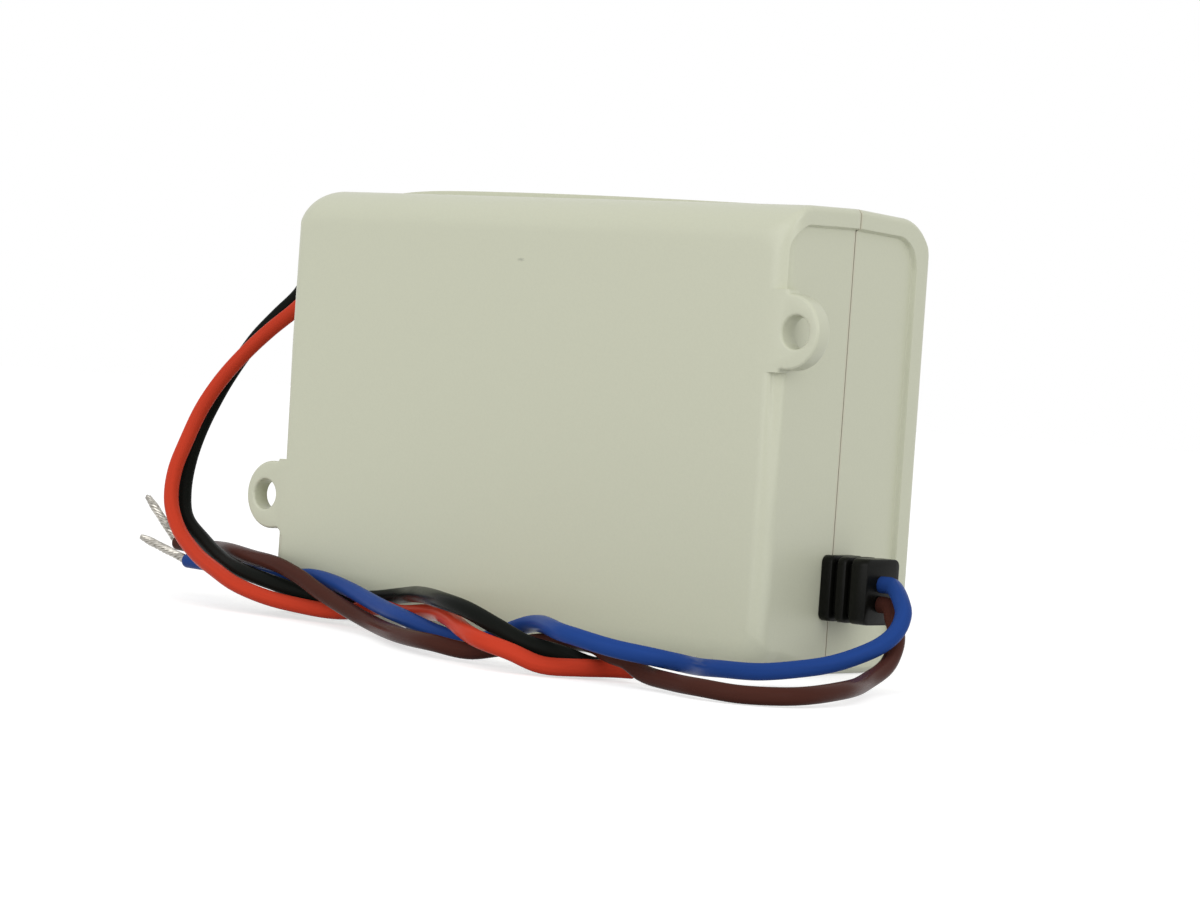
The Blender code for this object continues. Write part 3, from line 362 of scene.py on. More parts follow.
# %% Make the wires
# How far out the wires leave the strain relief, and how far inside it their pieces start
WIRE_EXIT, INSIDE_RELIEF = 48.0, 0.8
WIRE_COLUMNS = 24
WIRE_COLOURS = {
    "blue": (0.0190, 0.0600, 0.2500),
    "brown": (0.0680, 0.0236, 0.0174),
    "red": (0.5700, 0.0530, 0.0245),
    "black": (0.0098, 0.0110, 0.0094),
}
ROUTES = {
    "blue": (BLUE_ROUTE, BLUE_TIP_END),
    "brown": (BROWN_ROUTE, BROWN_TIP_END),
    "red": (RED_ROUTE, RED_TIP_END),
    "black": (BLACK_ROUTE, BLACK_TIP_END),
}
# The cut end's rings: how far before the end, and how much smaller than the sleeve, each one is
CUT_END = np.array([
    (0.05, 0.01), (0.015, 0.035), (0.0, 0.09), (0.0, 0.38), (0.3, 0.42), (0.7, 0.42)])

wires, lines, lengths = {}, {}, {}
for colour, (route, _) in ROUTES.items():
    side = 1 if route[0][0] > 0 else -1
    line = smooth_curve([(side * WIRE_EXIT,) + route[0][1:]] + route)
    length = float(np.linalg.norm(np.diff(line, axis=0), axis=1).sum())
    started = np.vstack([line[0] - (side * INSIDE_RELIEF, 0.0, 0.0), line])
    body = np.linspace(0.0, INSIDE_RELIEF + length - 0.1, round(length / STEP) + 1)
    stations = np.concatenate([body, INSIDE_RELIEF + length - CUT_END[:, 0]])
    shrink = np.concatenate([np.zeros(len(body)), CUT_END[:, 1]])
    grid, flat = carry_circle(started, stations, WIRE_DIAMETER / 2 - shrink, WIRE_COLUMNS)
    mesh = mesh_of_grids("wire_" + colour, [grid])
    # Where the columns were turned round to face outwards, those of the straight wire follow
    points = np.zeros(grid.size)
    mesh.vertices.foreach_get("co", points)
    if not np.allclose(points.reshape(grid.shape), grid * MM, atol=1e-7):
        flat = flat[:, ::-1]
    straight = mesh.attributes.new("straight", "FLOAT_VECTOR", "POINT")
    straight.data.foreach_set("vector", flat.reshape(-1) * MM)
    wires[colour] = new_piece("insulation_" + colour, mesh)
    lines[colour], lengths[colour] = line, length
    print(colour, "wire:", round(length, 1), "mm long")


# %% [markdown]
# ## The finish of the wires
#
# The die lines are a noise that is stretched along the pulled-straight wire: fine across it and
# very slow along it. A slower one, stretched in the same way, moves the gloss. The share that
# mirrors is kept low, or the white surroundings would put pale patches on every bend.

# %% PVC
PVC_ROUGHNESS, PVC_MIRROR = 0.26, 0.012
ALONG_WIRE = 0.04


def pvc(name, colour):
    """PVC: a noise stretched along the wire shades it by 5% and lifts its surface slightly."""
    made = finish(name, colour, PVC_ROUGHNESS, mottle=0.05, size=0.5, bump=0.004, where="straight")
    tree = made.node_tree
    tree.nodes["Principled BSDF"].inputs["Specular IOR Level"].default_value = PVC_MIRROR
    source = next(n for n in tree.nodes if n.type == "ATTRIBUTE").outputs["Vector"]
    stretched = add_node(tree, "ShaderNodeMapping", "Vector", {
        "Vector": source, "Scale": (1.0, 1.0, ALONG_WIRE)})
    for noise in (n for n in tree.nodes if n.type == "TEX_NOISE"):
        tree.links.new(stretched, noise.inputs["Vector"])
    return made


# %% [markdown]
# ## Twisted, tinned ends
#
# Each wire ends in bare copper strands that are twisted and dipped in tin. The strands stay
# visible as ridges that wind round the bundle. Each strand is a thin round wire carried along
# a helix, and they all meet in a slightly flattened, pinched tip.

# %% Make the tinned ends
# The tip is measured from just past the sleeve, and its strands start a little before that
TIP_START, STRANDS_BEFORE, TIP_LENGTH = 0.4, 0.6, 9.4
STRANDS, STRAND_RADIUS, STRAND_RINGS = 7, 0.215, 50
BUNDLE_RADIUS, PITCH, PINCH_START = 0.41, 5.2, 0.75


def twisted_end(start, way, phase):
    """Strands on a helix: axis + R(s) (cos w side + sin w up), w = turn s / pitch + its own share.

    R narrows at the tip, where the strands are pinched together, and one axis is flattened.
    R also swells and shrinks by 5% on the way, and the strands end unevenly, as cut ones do.
    """
    way = way / np.linalg.norm(way)
    side = np.cross(way, (0.0, 0.0, 1.0))
    side /= np.linalg.norm(side)
    up = np.cross(side, way)
    along = np.linspace(-STRANDS_BEFORE, TIP_LENGTH, 60)
    share = (along - PINCH_START * TIP_LENGTH) / ((1.0 - PINCH_START) * TIP_LENGTH)
    share = np.clip(share, 0.0, 1.0)
    uneven = 1.0 + 0.05 * np.sin(along * 1.9 + phase)
    spread = BUNDLE_RADIUS * (1.0 - 0.35 * share**2) * uneven
    axis = start + along[:, None] * way
    grids = []
    for k in range(STRANDS):
        angle = phase + 2 * np.pi * (k / STRANDS + along / PITCH)
        centre = (axis + (spread * np.cos(angle))[:, None] * side
                  + (spread * (1.0 - 0.3 * share) * np.sin(angle))[:, None] * up)
        last = distance_along(centre)[-1] - 0.25 * abs(math.sin(1.7 * k + phase))
        stations = np.append(np.linspace(0.0, last - 0.1, STRAND_RINGS), [last - 0.03, last])
        radii = np.append(np.full(STRAND_RINGS, STRAND_RADIUS), [0.17, 0.09])
        grids.append(carry_circle(centre, stations, radii, 8)[0])
    # A core closes the gap in the middle of the strands
    grids.append(carry_circle(axis, [0.0, TIP_LENGTH + 0.3], [0.30, 0.22], 12)[0])
    return grids


tinned = {}
for number, (colour, (route, tip_end)) in enumerate(ROUTES.items()):
    end = np.array(route[-1]) + (0.0, BASE_Y, 0.0)
    way = np.array(tip_end) + (0.0, BASE_Y, 0.0) - end
    start = end + TIP_START * way / np.linalg.norm(way)
    mesh = mesh_of_grids("tinned_" + colour, twisted_end(start, way, 1.1 * number))
    tinned[colour] = new_piece("twisted_end_" + colour, mesh)

tin = finish("tinned copper", (0.42, 0.40, 0.36), 0.20,
             mottle=0.35, size=1.0, bump=0.03, metallic=1.0)
for colour in ROUTES:
    name = "wire_" + colour
    dress(wires[colour], pvc("wire " + colour, WIRE_COLOURS[colour]), [name])
    dress(tinned[colour], tin, ["tinned_end_" + colour])
    line = lines[colour]

# %% [markdown]
# ## The case as rings
#
# The case is two trays that meet in a joint. Seen along its depth, each tray is one outline
# that grows through the rounded edge and then stays the same, so every ring is the same
# formula with other insets. Two of the outline's corners are wide and two are nearly square, as
# on the real mould. The rings lie closer together where the end walls have their sunk panels.

# %% Sizes of the case
LENGTH, DEPTH, HEIGHT = 84.0, 29.5, 57.0
BASE_DEPTH, WALL, SEAM = 13.8, 2.0, 0.14
COVER_Y, SPLIT_Y = DEPTH / 2, -DEPTH / 2 + BASE_DEPTH
BASE_RADIUS, COVER_RADIUS = 4.5, 6.0
BASE_END_RADIUS, COVER_END_RADIUS = 2.8, 1.2
WIDE_FRONT, WIDE_BACK = 5.8, 2.8
TIGHT_BACK, TIGHT_GROWTH = 0.8, 2.2
PANEL_SINK, RIM_TOP, RIM_COVER, RIM_BASE = 0.7, 2.5, 3.3, 1.0
LUG_Z = HEIGHT - 15.7
BOW, BOW_START, BOW_PEAK = 1.15, -39.4, -22.0
LEAN_FRONT, LEAN_BEHIND = 0.5, 0.03
print("case:", LENGTH, "x", DEPTH, "x", HEIGHT, "mm, lug centre", round(LUG_Z, 2), "mm up")


def edge_inset(radius, depth):
    """How far a rounded edge stands back at a depth: r - sqrt(r^2 - (r - depth)^2)."""
    return radius - np.sqrt(radius**2 - (radius - np.minimum(depth, radius)) ** 2)


def top_bow(x):
    """The cover's upper wall bows out: a quick cubic rise at its left, then a long cosine fall."""
    rise = 1.0 - (1.0 - np.clip((x - BOW_START) / (BOW_PEAK - BOW_START), 0.0, 1.0)) ** 3
    share = np.clip((x - BOW_PEAK) / (LENGTH / 2 - BOW_PEAK), 0.0, 1.0)
    fall = np.cos(0.5 * np.pi * share).clip(0.0) ** 1.1
    return BOW * np.where(x < BOW_PEAK, rise, fall)


def wide_radius(depth):
    """The wide corners' radius: 5.8 through the base's rounding, then evenly down to 2.8."""
    share = np.clip((depth - BASE_RADIUS) / (BASE_DEPTH - BASE_RADIUS), 0.0, 1.0)
    return WIDE_FRONT - (WIDE_FRONT - WIDE_BACK) * share


def draft(x, y, z):
    """How far the upper half leans in away from the joint, as moulded walls do to leave the mould.

    0.5 mm at the base face's right end, fading evenly to the joint and to the left, and
    0.03 per mm behind the joint, both growing evenly from half height to the top.
    """
    before = (LEAN_FRONT * np.clip((SPLIT_Y - y) / BASE_DEPTH, 0.0, 1.0)
              * np.clip((x + LENGTH / 2) / LENGTH, 0.0, 1.0))
    behind = LEAN_BEHIND * np.clip(y - SPLIT_Y, 0.0, None)
    return (before + behind) * np.clip((z - HEIGHT / 2) / (HEIGHT / 2), 0.0, 1.0)


# %% Rings of the case
ACROSS = np.linspace(0.0, 1.0, 42)[1:-1]
# Heights up the end walls, closest where the lugs and the panels' edges are: from, to, count
WALL_STEPS = ((2.8, 28.0, 14), (28.0, 40.0, 16), (40.0, 42.5, 12), (42.5, 49.0, 8),
              (49.0, 53.6, 22), (53.6, 55.2, 18), (55.2, 56.2, 4))
WALL_Z = np.unique(np.concatenate([np.linspace(*steps) for steps in WALL_STEPS]))
UP = ((WALL_Z - WALL_Z[0]) / (WALL_Z[-1] - WALL_Z[0]))[1:-1]
TIGHT_STEPS, WIDE_STEPS = 9, 22
SMALLEST_TIGHT, SMALLEST_WIDE = 0.15, 1.5
print("points up an end wall:", len(WALL_Z))


def case_rings(y, inset_x, inset_z, share, wide, wall, bow):
    """Outlines at the depths y: four arcs joined by straight lines, all as one array.

    Each arc is centre + r (cos a, sin a), and each line runs evenly between the arcs' ends.
    Two corners have the radius wide and two go from 0.8 to 3 with share, all less the wall. The
    upper line takes its share of the bow, and everything leans by the draft.
    """
    y, inset_x, inset_z, share, wide, wall, bow = (
        np.broadcast_to(v, np.shape(y)).astype(float)
        for v in (y, inset_x, inset_z, share, wide, wall, bow))
    wide = np.maximum(wide - np.maximum(inset_x, inset_z) - wall, SMALLEST_WIDE)
    tight = TIGHT_BACK + TIGHT_GROWTH * share - np.minimum(wall, 0.6)
    tight = np.maximum(tight, SMALLEST_TIGHT)
    half, low = LENGTH / 2 - inset_x - wall, inset_z + wall
    high = HEIGHT - low
    arcs = []
    for sx, sz, radius, first, count in (
            (-1, -1, tight, 180, TIGHT_STEPS), (1, -1, wide, 270, WIDE_STEPS),
            (1, 1, tight, 0, TIGHT_STEPS), (-1, 1, wide, 90, WIDE_STEPS)):
        a = np.radians(np.linspace(first, first + 90, count))
        x = (sx * (half - radius))[:, None] + radius[:, None] * np.cos(a)
        z = (low + radius if sz < 0 else high - radius)[:, None] + radius[:, None] * np.sin(a)
        arcs.append((x, z))
    parts = []
    for k, steps in enumerate((ACROSS, UP, ACROSS, UP)):
        parts.append(arcs[k])
        ends = [(v[:, -1:], w[:, :1]) for v, w in zip(arcs[k], arcs[(k + 1) % 4])]
        x, z = (v + (w - v) * steps for v, w in ends)
        if k == 2:
            z = z + bow[:, None] * top_bow(x)
        parts.append((x, z))
    x, z = (np.hstack([p[n] for p in parts]) for n in (0, 1))
    y = np.broadcast_to(y[:, None], x.shape)
    return np.stack([x, y, z - draft(x, y, z)], axis=-1)


# %% [markdown]
# ## Sunk end panels
#
# Each end wall has a panel that lies a little deeper than a rim, which runs like an upside-down
# letter J above the lug, over the top and down the cover's side. A rim can be modelled by
# pushing points inwards where a mask says "panel". The mask comes from a signed distance: how
# far a point is outside the panel's outline. Turning the distance into a soft step gives the
# moulded, slightly rounded edge. The other end is the same one turned half round, except that
# its panel reaches the base face on both sides of the lug.

# %% Mask of a panel
EDGE_WIDTH = 0.32
COVER_CORNER, BASE_CORNER = 4.0, 3.2
# The groove's depth, its distance behind the base face and its half width, then the heights
# where it is at its deepest, where it has faded out, and where the lug ends it
GROOVE_DEEP, GROOVE_AT, GROOVE_WIDE = 0.6, 0.75, 0.5
GROOVE_FULL, GROOVE_END, GROOVE_TOP = 36.9, 20.0, 39.0
# Past this |x| a point belongs to an end wall
END_WALL = 37.0


def rounded_corner(u, v, radius):
    """Signed distance to the quadrant u < 0, v < 0 whose corner is rounded."""
    u, v = u + radius, v + radius
    return np.minimum(np.maximum(u, v), 0.0) + np.hypot(u.clip(0.0), v.clip(0.0)) - radius


def panel_mask(y, z, rim):
    """1 in the sunk panel and 0 on its rim, with a soft step between them.

    At the base face the panel has a rim of the width rim, only above the lug.
    """
    above = z + draft(LENGTH / 2, y, z) - (HEIGHT - RIM_TOP)
    cover_side = rounded_corner(y - (COVER_Y - RIM_COVER), above, COVER_CORNER)
    past_base_rim = np.minimum(BASE_Y + rim - y, z - LUG_Z)
    base_side = rounded_corner(past_base_rim, above, BASE_CORNER)
    t = np.clip(0.5 - np.maximum(cover_side, base_side) / EDGE_WIDTH, 0.0, 1.0)
    return t * t * (3.0 - 2.0 * t)


def sink_panels(rings):
    """Pushes each end wall back to the panel where the mask is 1.

    The panel turns to the base face with a radius that is smaller by its sink. A shallow groove
    runs down from a dimple at the lug's root: a bell curve across it times a fade along it.
    """
    x, y, z = np.moveaxis(rings, -1, 0)
    turned_z = np.where(x > 0, z, HEIGHT - z)
    depth = y - BASE_Y
    limit = LENGTH / 2 - PANEL_SINK - edge_inset(BASE_END_RADIUS - PANEL_SINK, depth)
    rim = np.where(x > 0, RIM_BASE, -1.0)
    pushed = panel_mask(y, turned_z, rim) * np.maximum(np.abs(x) - limit, 0.0)
    fade = np.clip((turned_z - GROOVE_END) / (GROOVE_FULL - GROOVE_END), 0.0, 1.0) ** 1.2
    groove = GROOVE_DEEP * fade * np.exp(-(((depth - GROOVE_AT) / GROOVE_WIDE) ** 2))
    pushed = pushed + groove * (turned_z < GROOVE_TOP) * (np.abs(x) > END_WALL)
    return np.stack([x - np.sign(x) * pushed, y, z], axis=-1)


# %% [markdown]
# ## The base shell
#
# The base shell carries the two fixing lugs. Its outside is a run of rings from the face to the
# joint. Then the surface turns in to the lip that enters the cover, and goes back down inside
# at the wall's thickness. The lugs, their holes, the openings for the strain reliefs and the
# board's posts are joined and cut with exact Booleans, because they cross the rounding at
# angles that no single formula describes.

# %% Outside of the base
# The last rings before the joint: how far before it, and how far in from the wall, each one is
JOINT_EASE, JOINT_RINGS = 0.15, np.array([(0.05, 0.03), (0.0, 0.12)])
arc_steps = np.linspace(0.0, np.pi / 2, 17)
base_depths = np.unique(np.concatenate([
    BASE_RADIUS * (1.0 - np.cos(arc_steps)), np.arange(0.3, 1.9, 0.07), np.arange(1.95, 5.3, 0.2),
    np.linspace(5.4, BASE_DEPTH - SEAM / 2 - JOINT_EASE, 11)]).round(3))


def outside(face_y, inward, end_radius, long_radius, depths, total):
    """Rings from the flat of a shell's face to its eased joint edge.

    The first two lie in the flat, 1.5 and 0.15 mm in from the outline, so that only the
    rounding is shaded smooth.
    """
    depth = np.concatenate([[0.0, 0.0], depths[1:], total - JOINT_RINGS[:, 0]])
    wall = np.concatenate([[1.5, 0.15], np.zeros(len(depths) - 1), JOINT_RINGS[:, 1]])
    inset = edge_inset(end_radius, depth)
    wide = wide_radius(depth) if face_y < 0 else WIDE_BACK
    bow = np.minimum(depth / long_radius, 1.0) * (face_y > 0)
    rings = case_rings(face_y + inward * depth, inset, edge_inset(long_radius, depth),
                       inset / end_radius, wide, wall, bow)
    return sink_panels(rings)


def inside(face_y, levels):
    """Rings of the inner surfaces: depth y and how far each stands inside the outer wall."""
    y, wall = np.array(levels).T
    wide = wide_radius(y - BASE_Y) if face_y < 0 else WIDE_BACK
    return case_rings(y, 0.0, 0.0, 0.0, wide, wall, float(face_y > 0))


base_joint = SPLIT_Y - SEAM / 2
base_rings = np.vstack([
    outside(BASE_Y, 1, BASE_END_RADIUS, BASE_RADIUS, base_depths, BASE_DEPTH - SEAM / 2),
    inside(BASE_Y, [(base_joint, 1.1), (base_joint + 1.5, 1.1), (base_joint + 1.5, 2.0),
                    (BASE_Y + 3.5, 2.0), (BASE_Y + WALL, 2.6)]),
])
base_shell = new_piece("base_tray", mesh_of_grids("base_tray", [base_rings]))
print("base:", base_rings.shape[0], "rings of", base_rings.shape[1], "points")

# %% Lugs and posts
LUG_HALF, LUG_REACH, LUG_THICK, LUG_EASE = 4.55, 4.9, 2.5, 0.4
LUG_ROOT, LUG_SET_BACK, LOW_FILLET = 3.6, 0.02, 0.4
POST_X, POST_Z, POST_RADIUS = 35.0, 22.75, 2.0
# Where the base's posts and the cover's end, just short of the board: mm behind the base face
BASE_POST_END, COVER_POST_END = 4.9, 7.1


def arc(centre, radius, start, end, steps):
    """Points on an arc: centre + radius (cos a, sin a) as a goes from start to end degrees."""
    a = np.radians(np.linspace(start, end, steps))
    return np.stack([centre[0] + radius * np.cos(a), centre[1] + radius * np.sin(a)], axis=-1)


def lug_rings(high_wall, high_fillet):
    """The lug's outline, a tongue with a round nose and a fillet at each side of its root.

    A fillet touches both the nose's circle and the wall, so its centre stands a radius from the
    wall and both radii from the nose's centre. The edges are eased by a quarter circle: each
    ring's nose is that much smaller, and its fillets are that much larger.
    """
    nose_x, root_x = LENGTH / 2 + LUG_REACH - LUG_HALF, LENGTH / 2 - LUG_ROOT
    fillets = []
    for wall_x, radius, way in ((LENGTH / 2 - PANEL_SINK, LOW_FILLET, -1),
                                (high_wall, high_fillet, 1)):
        across = wall_x + radius - nose_x
        along = way * math.sqrt((LUG_HALF + radius) ** 2 - across**2)
        angle = math.degrees(math.atan2(along, across))
        fillets.append(((wall_x + radius, LUG_Z + along), radius, angle))
    (low, low_radius, low_angle), (high, high_radius, high_angle) = fillets
    a = np.radians(np.linspace(0, 90, 6))
    depths = np.concatenate([LUG_SET_BACK + LUG_EASE * (1 - np.sin(a[::-1])),
                             LUG_THICK - LUG_EASE * (1 - np.sin(a))])
    rings = []
    for y, sink in zip(depths, LUG_EASE * (1 - np.cos(np.concatenate([a[::-1], a])))):
        line = np.vstack([
            [(root_x, low[1])], arc(low, low_radius + sink, 180, 180 + low_angle, 6),
            arc((nose_x, LUG_Z), LUG_HALF - sink, low_angle, high_angle, 44)[1:],
            arc(high, high_radius + sink, high_angle + 180, 180, 8)[1:], [(root_x, high[1])]])
        rings.append(np.stack([line[:, 0], np.full(len(line), BASE_Y + y), line[:, 1]], axis=-1))
    return np.array(rings)


def turned_half(grid):
    """The other end's copy: x becomes -x and z becomes the height less z."""
    return np.stack([-grid[..., 0], grid[..., 1], HEIGHT - grid[..., 2]], axis=-1)


def turned_shape(x, z, profile, columns=48):
    """A round shape along the depth: (x + r cos a, y, z + r sin a) for each (r, y) given."""
    a = np.linspace(0.0, 2 * np.pi, columns, endpoint=False)
    r, y = np.array(profile).T[:, :, None]
    return np.stack(np.broadcast_arrays(x + r * np.cos(a), y, z + r * np.sin(a)), axis=-1)


def post_rings(low_y, high_y):
    """The four posts that hold the board, one near each corner, between two depths."""
    profile = [(POST_RADIUS, low_y), (POST_RADIUS, high_y)]
    return [turned_shape(sx * POST_X, HEIGHT / 2 + sz * POST_Z, profile)
            for sx in (-1, 1) for sz in (-1, 1)]


# The left lug's upper fillet is larger and starts further in, on the sunk panel
lugs = [lug_rings(LENGTH / 2, 0.5), turned_half(lug_rings(LENGTH / 2 - 1.8, 0.9))]
posts = post_rings(BASE_Y + 1.0, BASE_Y + BASE_POST_END)
added = new_piece("added", mesh_of_grids("added", lugs + posts))
print("lugs and posts:", len(added.data.polygons), "faces")


# %% Holes and openings
HOLE_X = LENGTH / 2 + 1.5
RELIEF_Y, RELIEF_Z = BASE_Y + 14.95, 10.85
OPENING_HALF_Y, OPENING_HALF_Z = 2.95, 3.6


def hole_rings():
    """The screw hole, which opens out a little at the lug's front like a trumpet."""
    profile = [(2.45, BASE_Y - 1.0), (2.45, BASE_Y), (2.2, BASE_Y + 0.05), (2.06, BASE_Y + 0.17),
               (2.0, BASE_Y + 0.35), (2.0, BASE_Y + 2.9)]
    return turned_shape(HOLE_X, LUG_Z, profile, 72)


def opening_rings():
    """The square opening that the strain relief's neck goes through."""
    corners = [(RELIEF_Y + sy * OPENING_HALF_Y, RELIEF_Z + sz * OPENING_HALF_Z)
               for sy, sz in ((-1, -1), (1, -1), (1, 1), (-1, 1))]
    return np.array([[(x, y, z) for y, z in corners] for x in (LENGTH / 2 - 3.5, LENGTH / 2 + 2.0)])


def combine(target, tool, operation):
    """Joins or cuts two closed solids exactly, then drops the tool."""
    modifier = target.modifiers.new("shape", "BOOLEAN")
    modifier.object, modifier.operation, modifier.solver = tool, operation, "EXACT"
    seen = target.evaluated_get(bpy.context.evaluated_depsgraph_get())
    target.data = bpy.data.meshes.new_from_object(seen)
    target.modifiers.clear()
    bpy.data.objects.remove(tool)


openings = [opening_rings(), turned_half(opening_rings())]
removed = [hole_rings(), turned_half(hole_rings())] + openings
removed = new_piece("removed", mesh_of_grids("removed", removed))
combine(base_shell, added, "UNION")
combine(base_shell, removed, "DIFFERENCE")
print("base shell:", len(base_shell.data.polygons), "faces")

# %% [markdown]
# ## The cover shell
#
# The cover is the other tray. Its upper wall has bowed out by about a millimetre, which is
# common on thin moulded walls and shows as a light lens along the top. Its face, turned away
# here, has a shallow bed for the rating label. The joint is a narrow gap between the two
# trays' eased edges.

# %% Cover
cover_depths = np.unique(np.concatenate([
    COVER_RADIUS * (1.0 - np.cos(arc_steps)), np.arange(2.4, 3.6, 0.07), np.arange(3.7, 7.4, 0.18),
    np.linspace(7.6, DEPTH - BASE_DEPTH - SEAM / 2 - JOINT_EASE, 10)]).round(3))
cover_joint = SPLIT_Y + SEAM / 2
cover_rings = np.vstack([
    outside(COVER_Y, -1, COVER_END_RADIUS, COVER_RADIUS, cover_depths,
            DEPTH - BASE_DEPTH - SEAM / 2),
    inside(COVER_Y, [(cover_joint, 0.8), (cover_joint + 1.6, 0.8), (cover_joint + 1.6, 2.0),
                     (COVER_Y - WALL - 1.3, 2.0), (COVER_Y - WALL, 3.3)]),
])
cover_shell = new_piece("cover_tray", mesh_of_grids("cover_tray", [cover_rings]))
posts = mesh_of_grids("added", post_rings(BASE_Y + COVER_POST_END, COVER_Y - 1.0))
combine(cover_shell, new_piece("added", posts), "UNION")

# %% The label's bed
LABEL_HALF, LABEL_RISE, LABEL_RADIUS = 35.0, 20.5, 2.0
BED_GAP, BED_DEPTH = 0.3, 0.2


def rounded_rectangle(half_u, half_v, radius, steps):
    """Four arcs round a rectangle's corners: centres at (+-(half - r)) each way, radius r."""
    return np.vstack([
        arc((su * (half_u - radius), sv * (half_v - radius)), radius, a, a + 90, steps)
        for su, sv, a in ((-1, -1, 180), (1, -1, 270), (1, 1, 0), (-1, 1, 90))])


def rounded_plate(half, rise, low_y, high_y, radius):
    """A flat plate with round corners: the same outline at a few depths, with its edge eased."""
    ease = 0.04
    rings = []
    for y, inset in ((low_y, ease), (low_y + ease, 0.0), (high_y - ease, 0.0), (high_y, ease)):
        x, z = rounded_rectangle(half - inset, rise - inset, radius - inset, 10).T
        rings.append(np.stack([x, np.full(len(x), y), HEIGHT / 2 + z], axis=-1))
    return np.array(rings)


bed = rounded_plate(LABEL_HALF + BED_GAP, LABEL_RISE + BED_GAP, COVER_Y - BED_DEPTH, COVER_Y + 1.0,
                    LABEL_RADIUS + BED_GAP)
removed = mesh_of_grids("removed", openings + [bed])
combine(cover_shell, new_piece("removed", removed), "DIFFERENCE")
print("cover shell:", len(cover_shell.data.polygons), "faces")

# %% [markdown]
# ## Case plastic
#
# The case is an olive grey plastic with a very fine spark-eroded grain, so its highlights are
# wide and soft. Handling has left a small dark scuff on the base face and a speck under the
# lug. Such marks sit at fixed places, so each is a soft spot made from the distance to one
# point in Object coordinates, broken up by a noise. The joint between the trays shows warmer
# on the end walls, so a tint is mixed in close to it there.

# %% Plastic with marks
CASE_COLOUR = (0.572, 0.586, 0.452)
MARK_COLOUR, JOINT_TINT = (0.10, 0.10, 0.085), (0.52, 0.42, 0.33)
plastic = finish("case plastic", CASE_COLOUR, 0.38, mottle=0.012, size=0.35, bump=0.006)


def object_place(made):
    """The Object coordinates that a finish already reads."""
    return next(n for n in made.node_tree.nodes if n.type == "TEX_COORD").outputs["Object"]


def mix_in(made, share, colour):
    """Mixes a colour into the base colour: before x (1 - share) + colour x share."""
    base = made.node_tree.nodes["Principled BSDF"].inputs["Base Color"]
    mixed = add_node(made.node_tree, "ShaderNodeMix", 2, {
        0: share, 6: base.links[0].from_socket, 7: colour + (1.0,)}, data_type="RGBA")
    made.node_tree.links.new(mixed, base)


def add_mark(made, centre, size, strength):
    """Darkens a soft spot whose half widths are size, with a ragged edge.

    The distance from the centre, in half widths, is added to a noise. The share of the dark
    colour is strength where the sum is below 0.5, and falls evenly to 0 at 1.3.
    """
    tree = made.node_tree
    spot = add_node(tree, "ShaderNodeMapping", "Vector", {
        "Vector": object_place(made), "Location": tuple(c * MM for c in centre),
        "Scale": tuple(s * MM for s in size)}, vector_type="TEXTURE")
    distance = add_node(tree, "ShaderNodeVectorMath", "Value", {0: spot}, operation="LENGTH")
    ragged = add_node(tree, "ShaderNodeTexNoise", "Fac", {"Vector": spot, "Scale": 3.0})
    share = add_node(tree, "ShaderNodeMapRange", "Result", {
        "Value": maths(tree, "ADD", distance, ragged), "From Min": 0.5, "From Max": 1.3,
        "To Min": strength, "To Max": 0.0})
    mix_in(made, share, MARK_COLOUR)


def tint_joint(made, y, width, tint, strength):
    """Mixes in a tint near the joint, only on the end walls and a millimetre round the corner.

    Its share is strength x (1 - distance / width), with the distance in y from the joint.
    """
    tree = made.node_tree
    x = add_node(tree, "ShaderNodeSeparateXYZ", "X", {"Vector": object_place(made)})
    distance = maths(tree, "ABSOLUTE", maths(tree, "SUBTRACT", x.node.outputs["Y"], y * MM))
    near = add_node(tree, "ShaderNodeMapRange", "Result", {
        "Value": distance, "From Max": width * MM, "To Min": strength, "To Max": 0.0})
    on_end = maths(tree, "GREATER_THAN", maths(tree, "ABSOLUTE", x), (LENGTH / 2 - 1.0) * MM)
    mix_in(made, maths(tree, "MULTIPLY", near, on_end), tint)


add_mark(plastic, (-0.4, BASE_Y, 48.6), size=(0.9, 0.5, 0.35), strength=0.45)
add_mark(plastic, (41.0, BASE_Y + 0.9, 29.6), size=(0.22, 0.4, 0.22), strength=0.5)
tint_joint(plastic, SPLIT_Y, width=0.45, tint=JOINT_TINT, strength=0.35)
dress(base_shell, plastic, ["base_shell"])
dress(cover_shell, plastic, ["cover_shell"])

# %% [markdown]
# ## The rating label, left blank
#
# Such drivers carry a plastic film label on the cover. Nothing is printed on this one. It is a
# thin plate with round corners in its bed, with a satin finish a little whiter than the case.

# %% Label
label_film = finish("label film", (0.66, 0.66, 0.62), 0.3, mottle=0.01, size=2.0, bump=0.002)
label = mesh_of_grids("blank_label", [rounded_plate(
    LABEL_HALF, LABEL_RISE, COVER_Y - BED_DEPTH + 0.005, COVER_Y - 0.04, LABEL_RADIUS)])
label = new_piece("blank_label", label)
dress(label, label_film, ["cover_label"])

# %% [markdown]
# ## Strain reliefs
#
# Each pair of wires leaves through one moulded rubber block: a flange inside the wall, a neck in
# the opening, and outside a flange, a rib and an end block with grooves between them, which
# let it flex. It is a profile along the wires' way out, so every ring is a rounded rectangle
# that shrinks by the profile's sink. Small curves at each shoulder catch the light.

# %% Rubber blocks
RELIEF_START, RELIEF_HALF_Y, RELIEF_HALF_Z, RELIEF_RADIUS = 38.1, 3.35, 4.0, 0.9
# Flanges, ribs and the grooves between them on the way out: how long, and how far sunk
RELIEF_STEPS = ((1.6, 0.0), (1.6, 0.7), (1.6, 0.0), (0.8, 0.8), (1.3, 0.0), (0.8, 0.8), (2.4, 0.0))


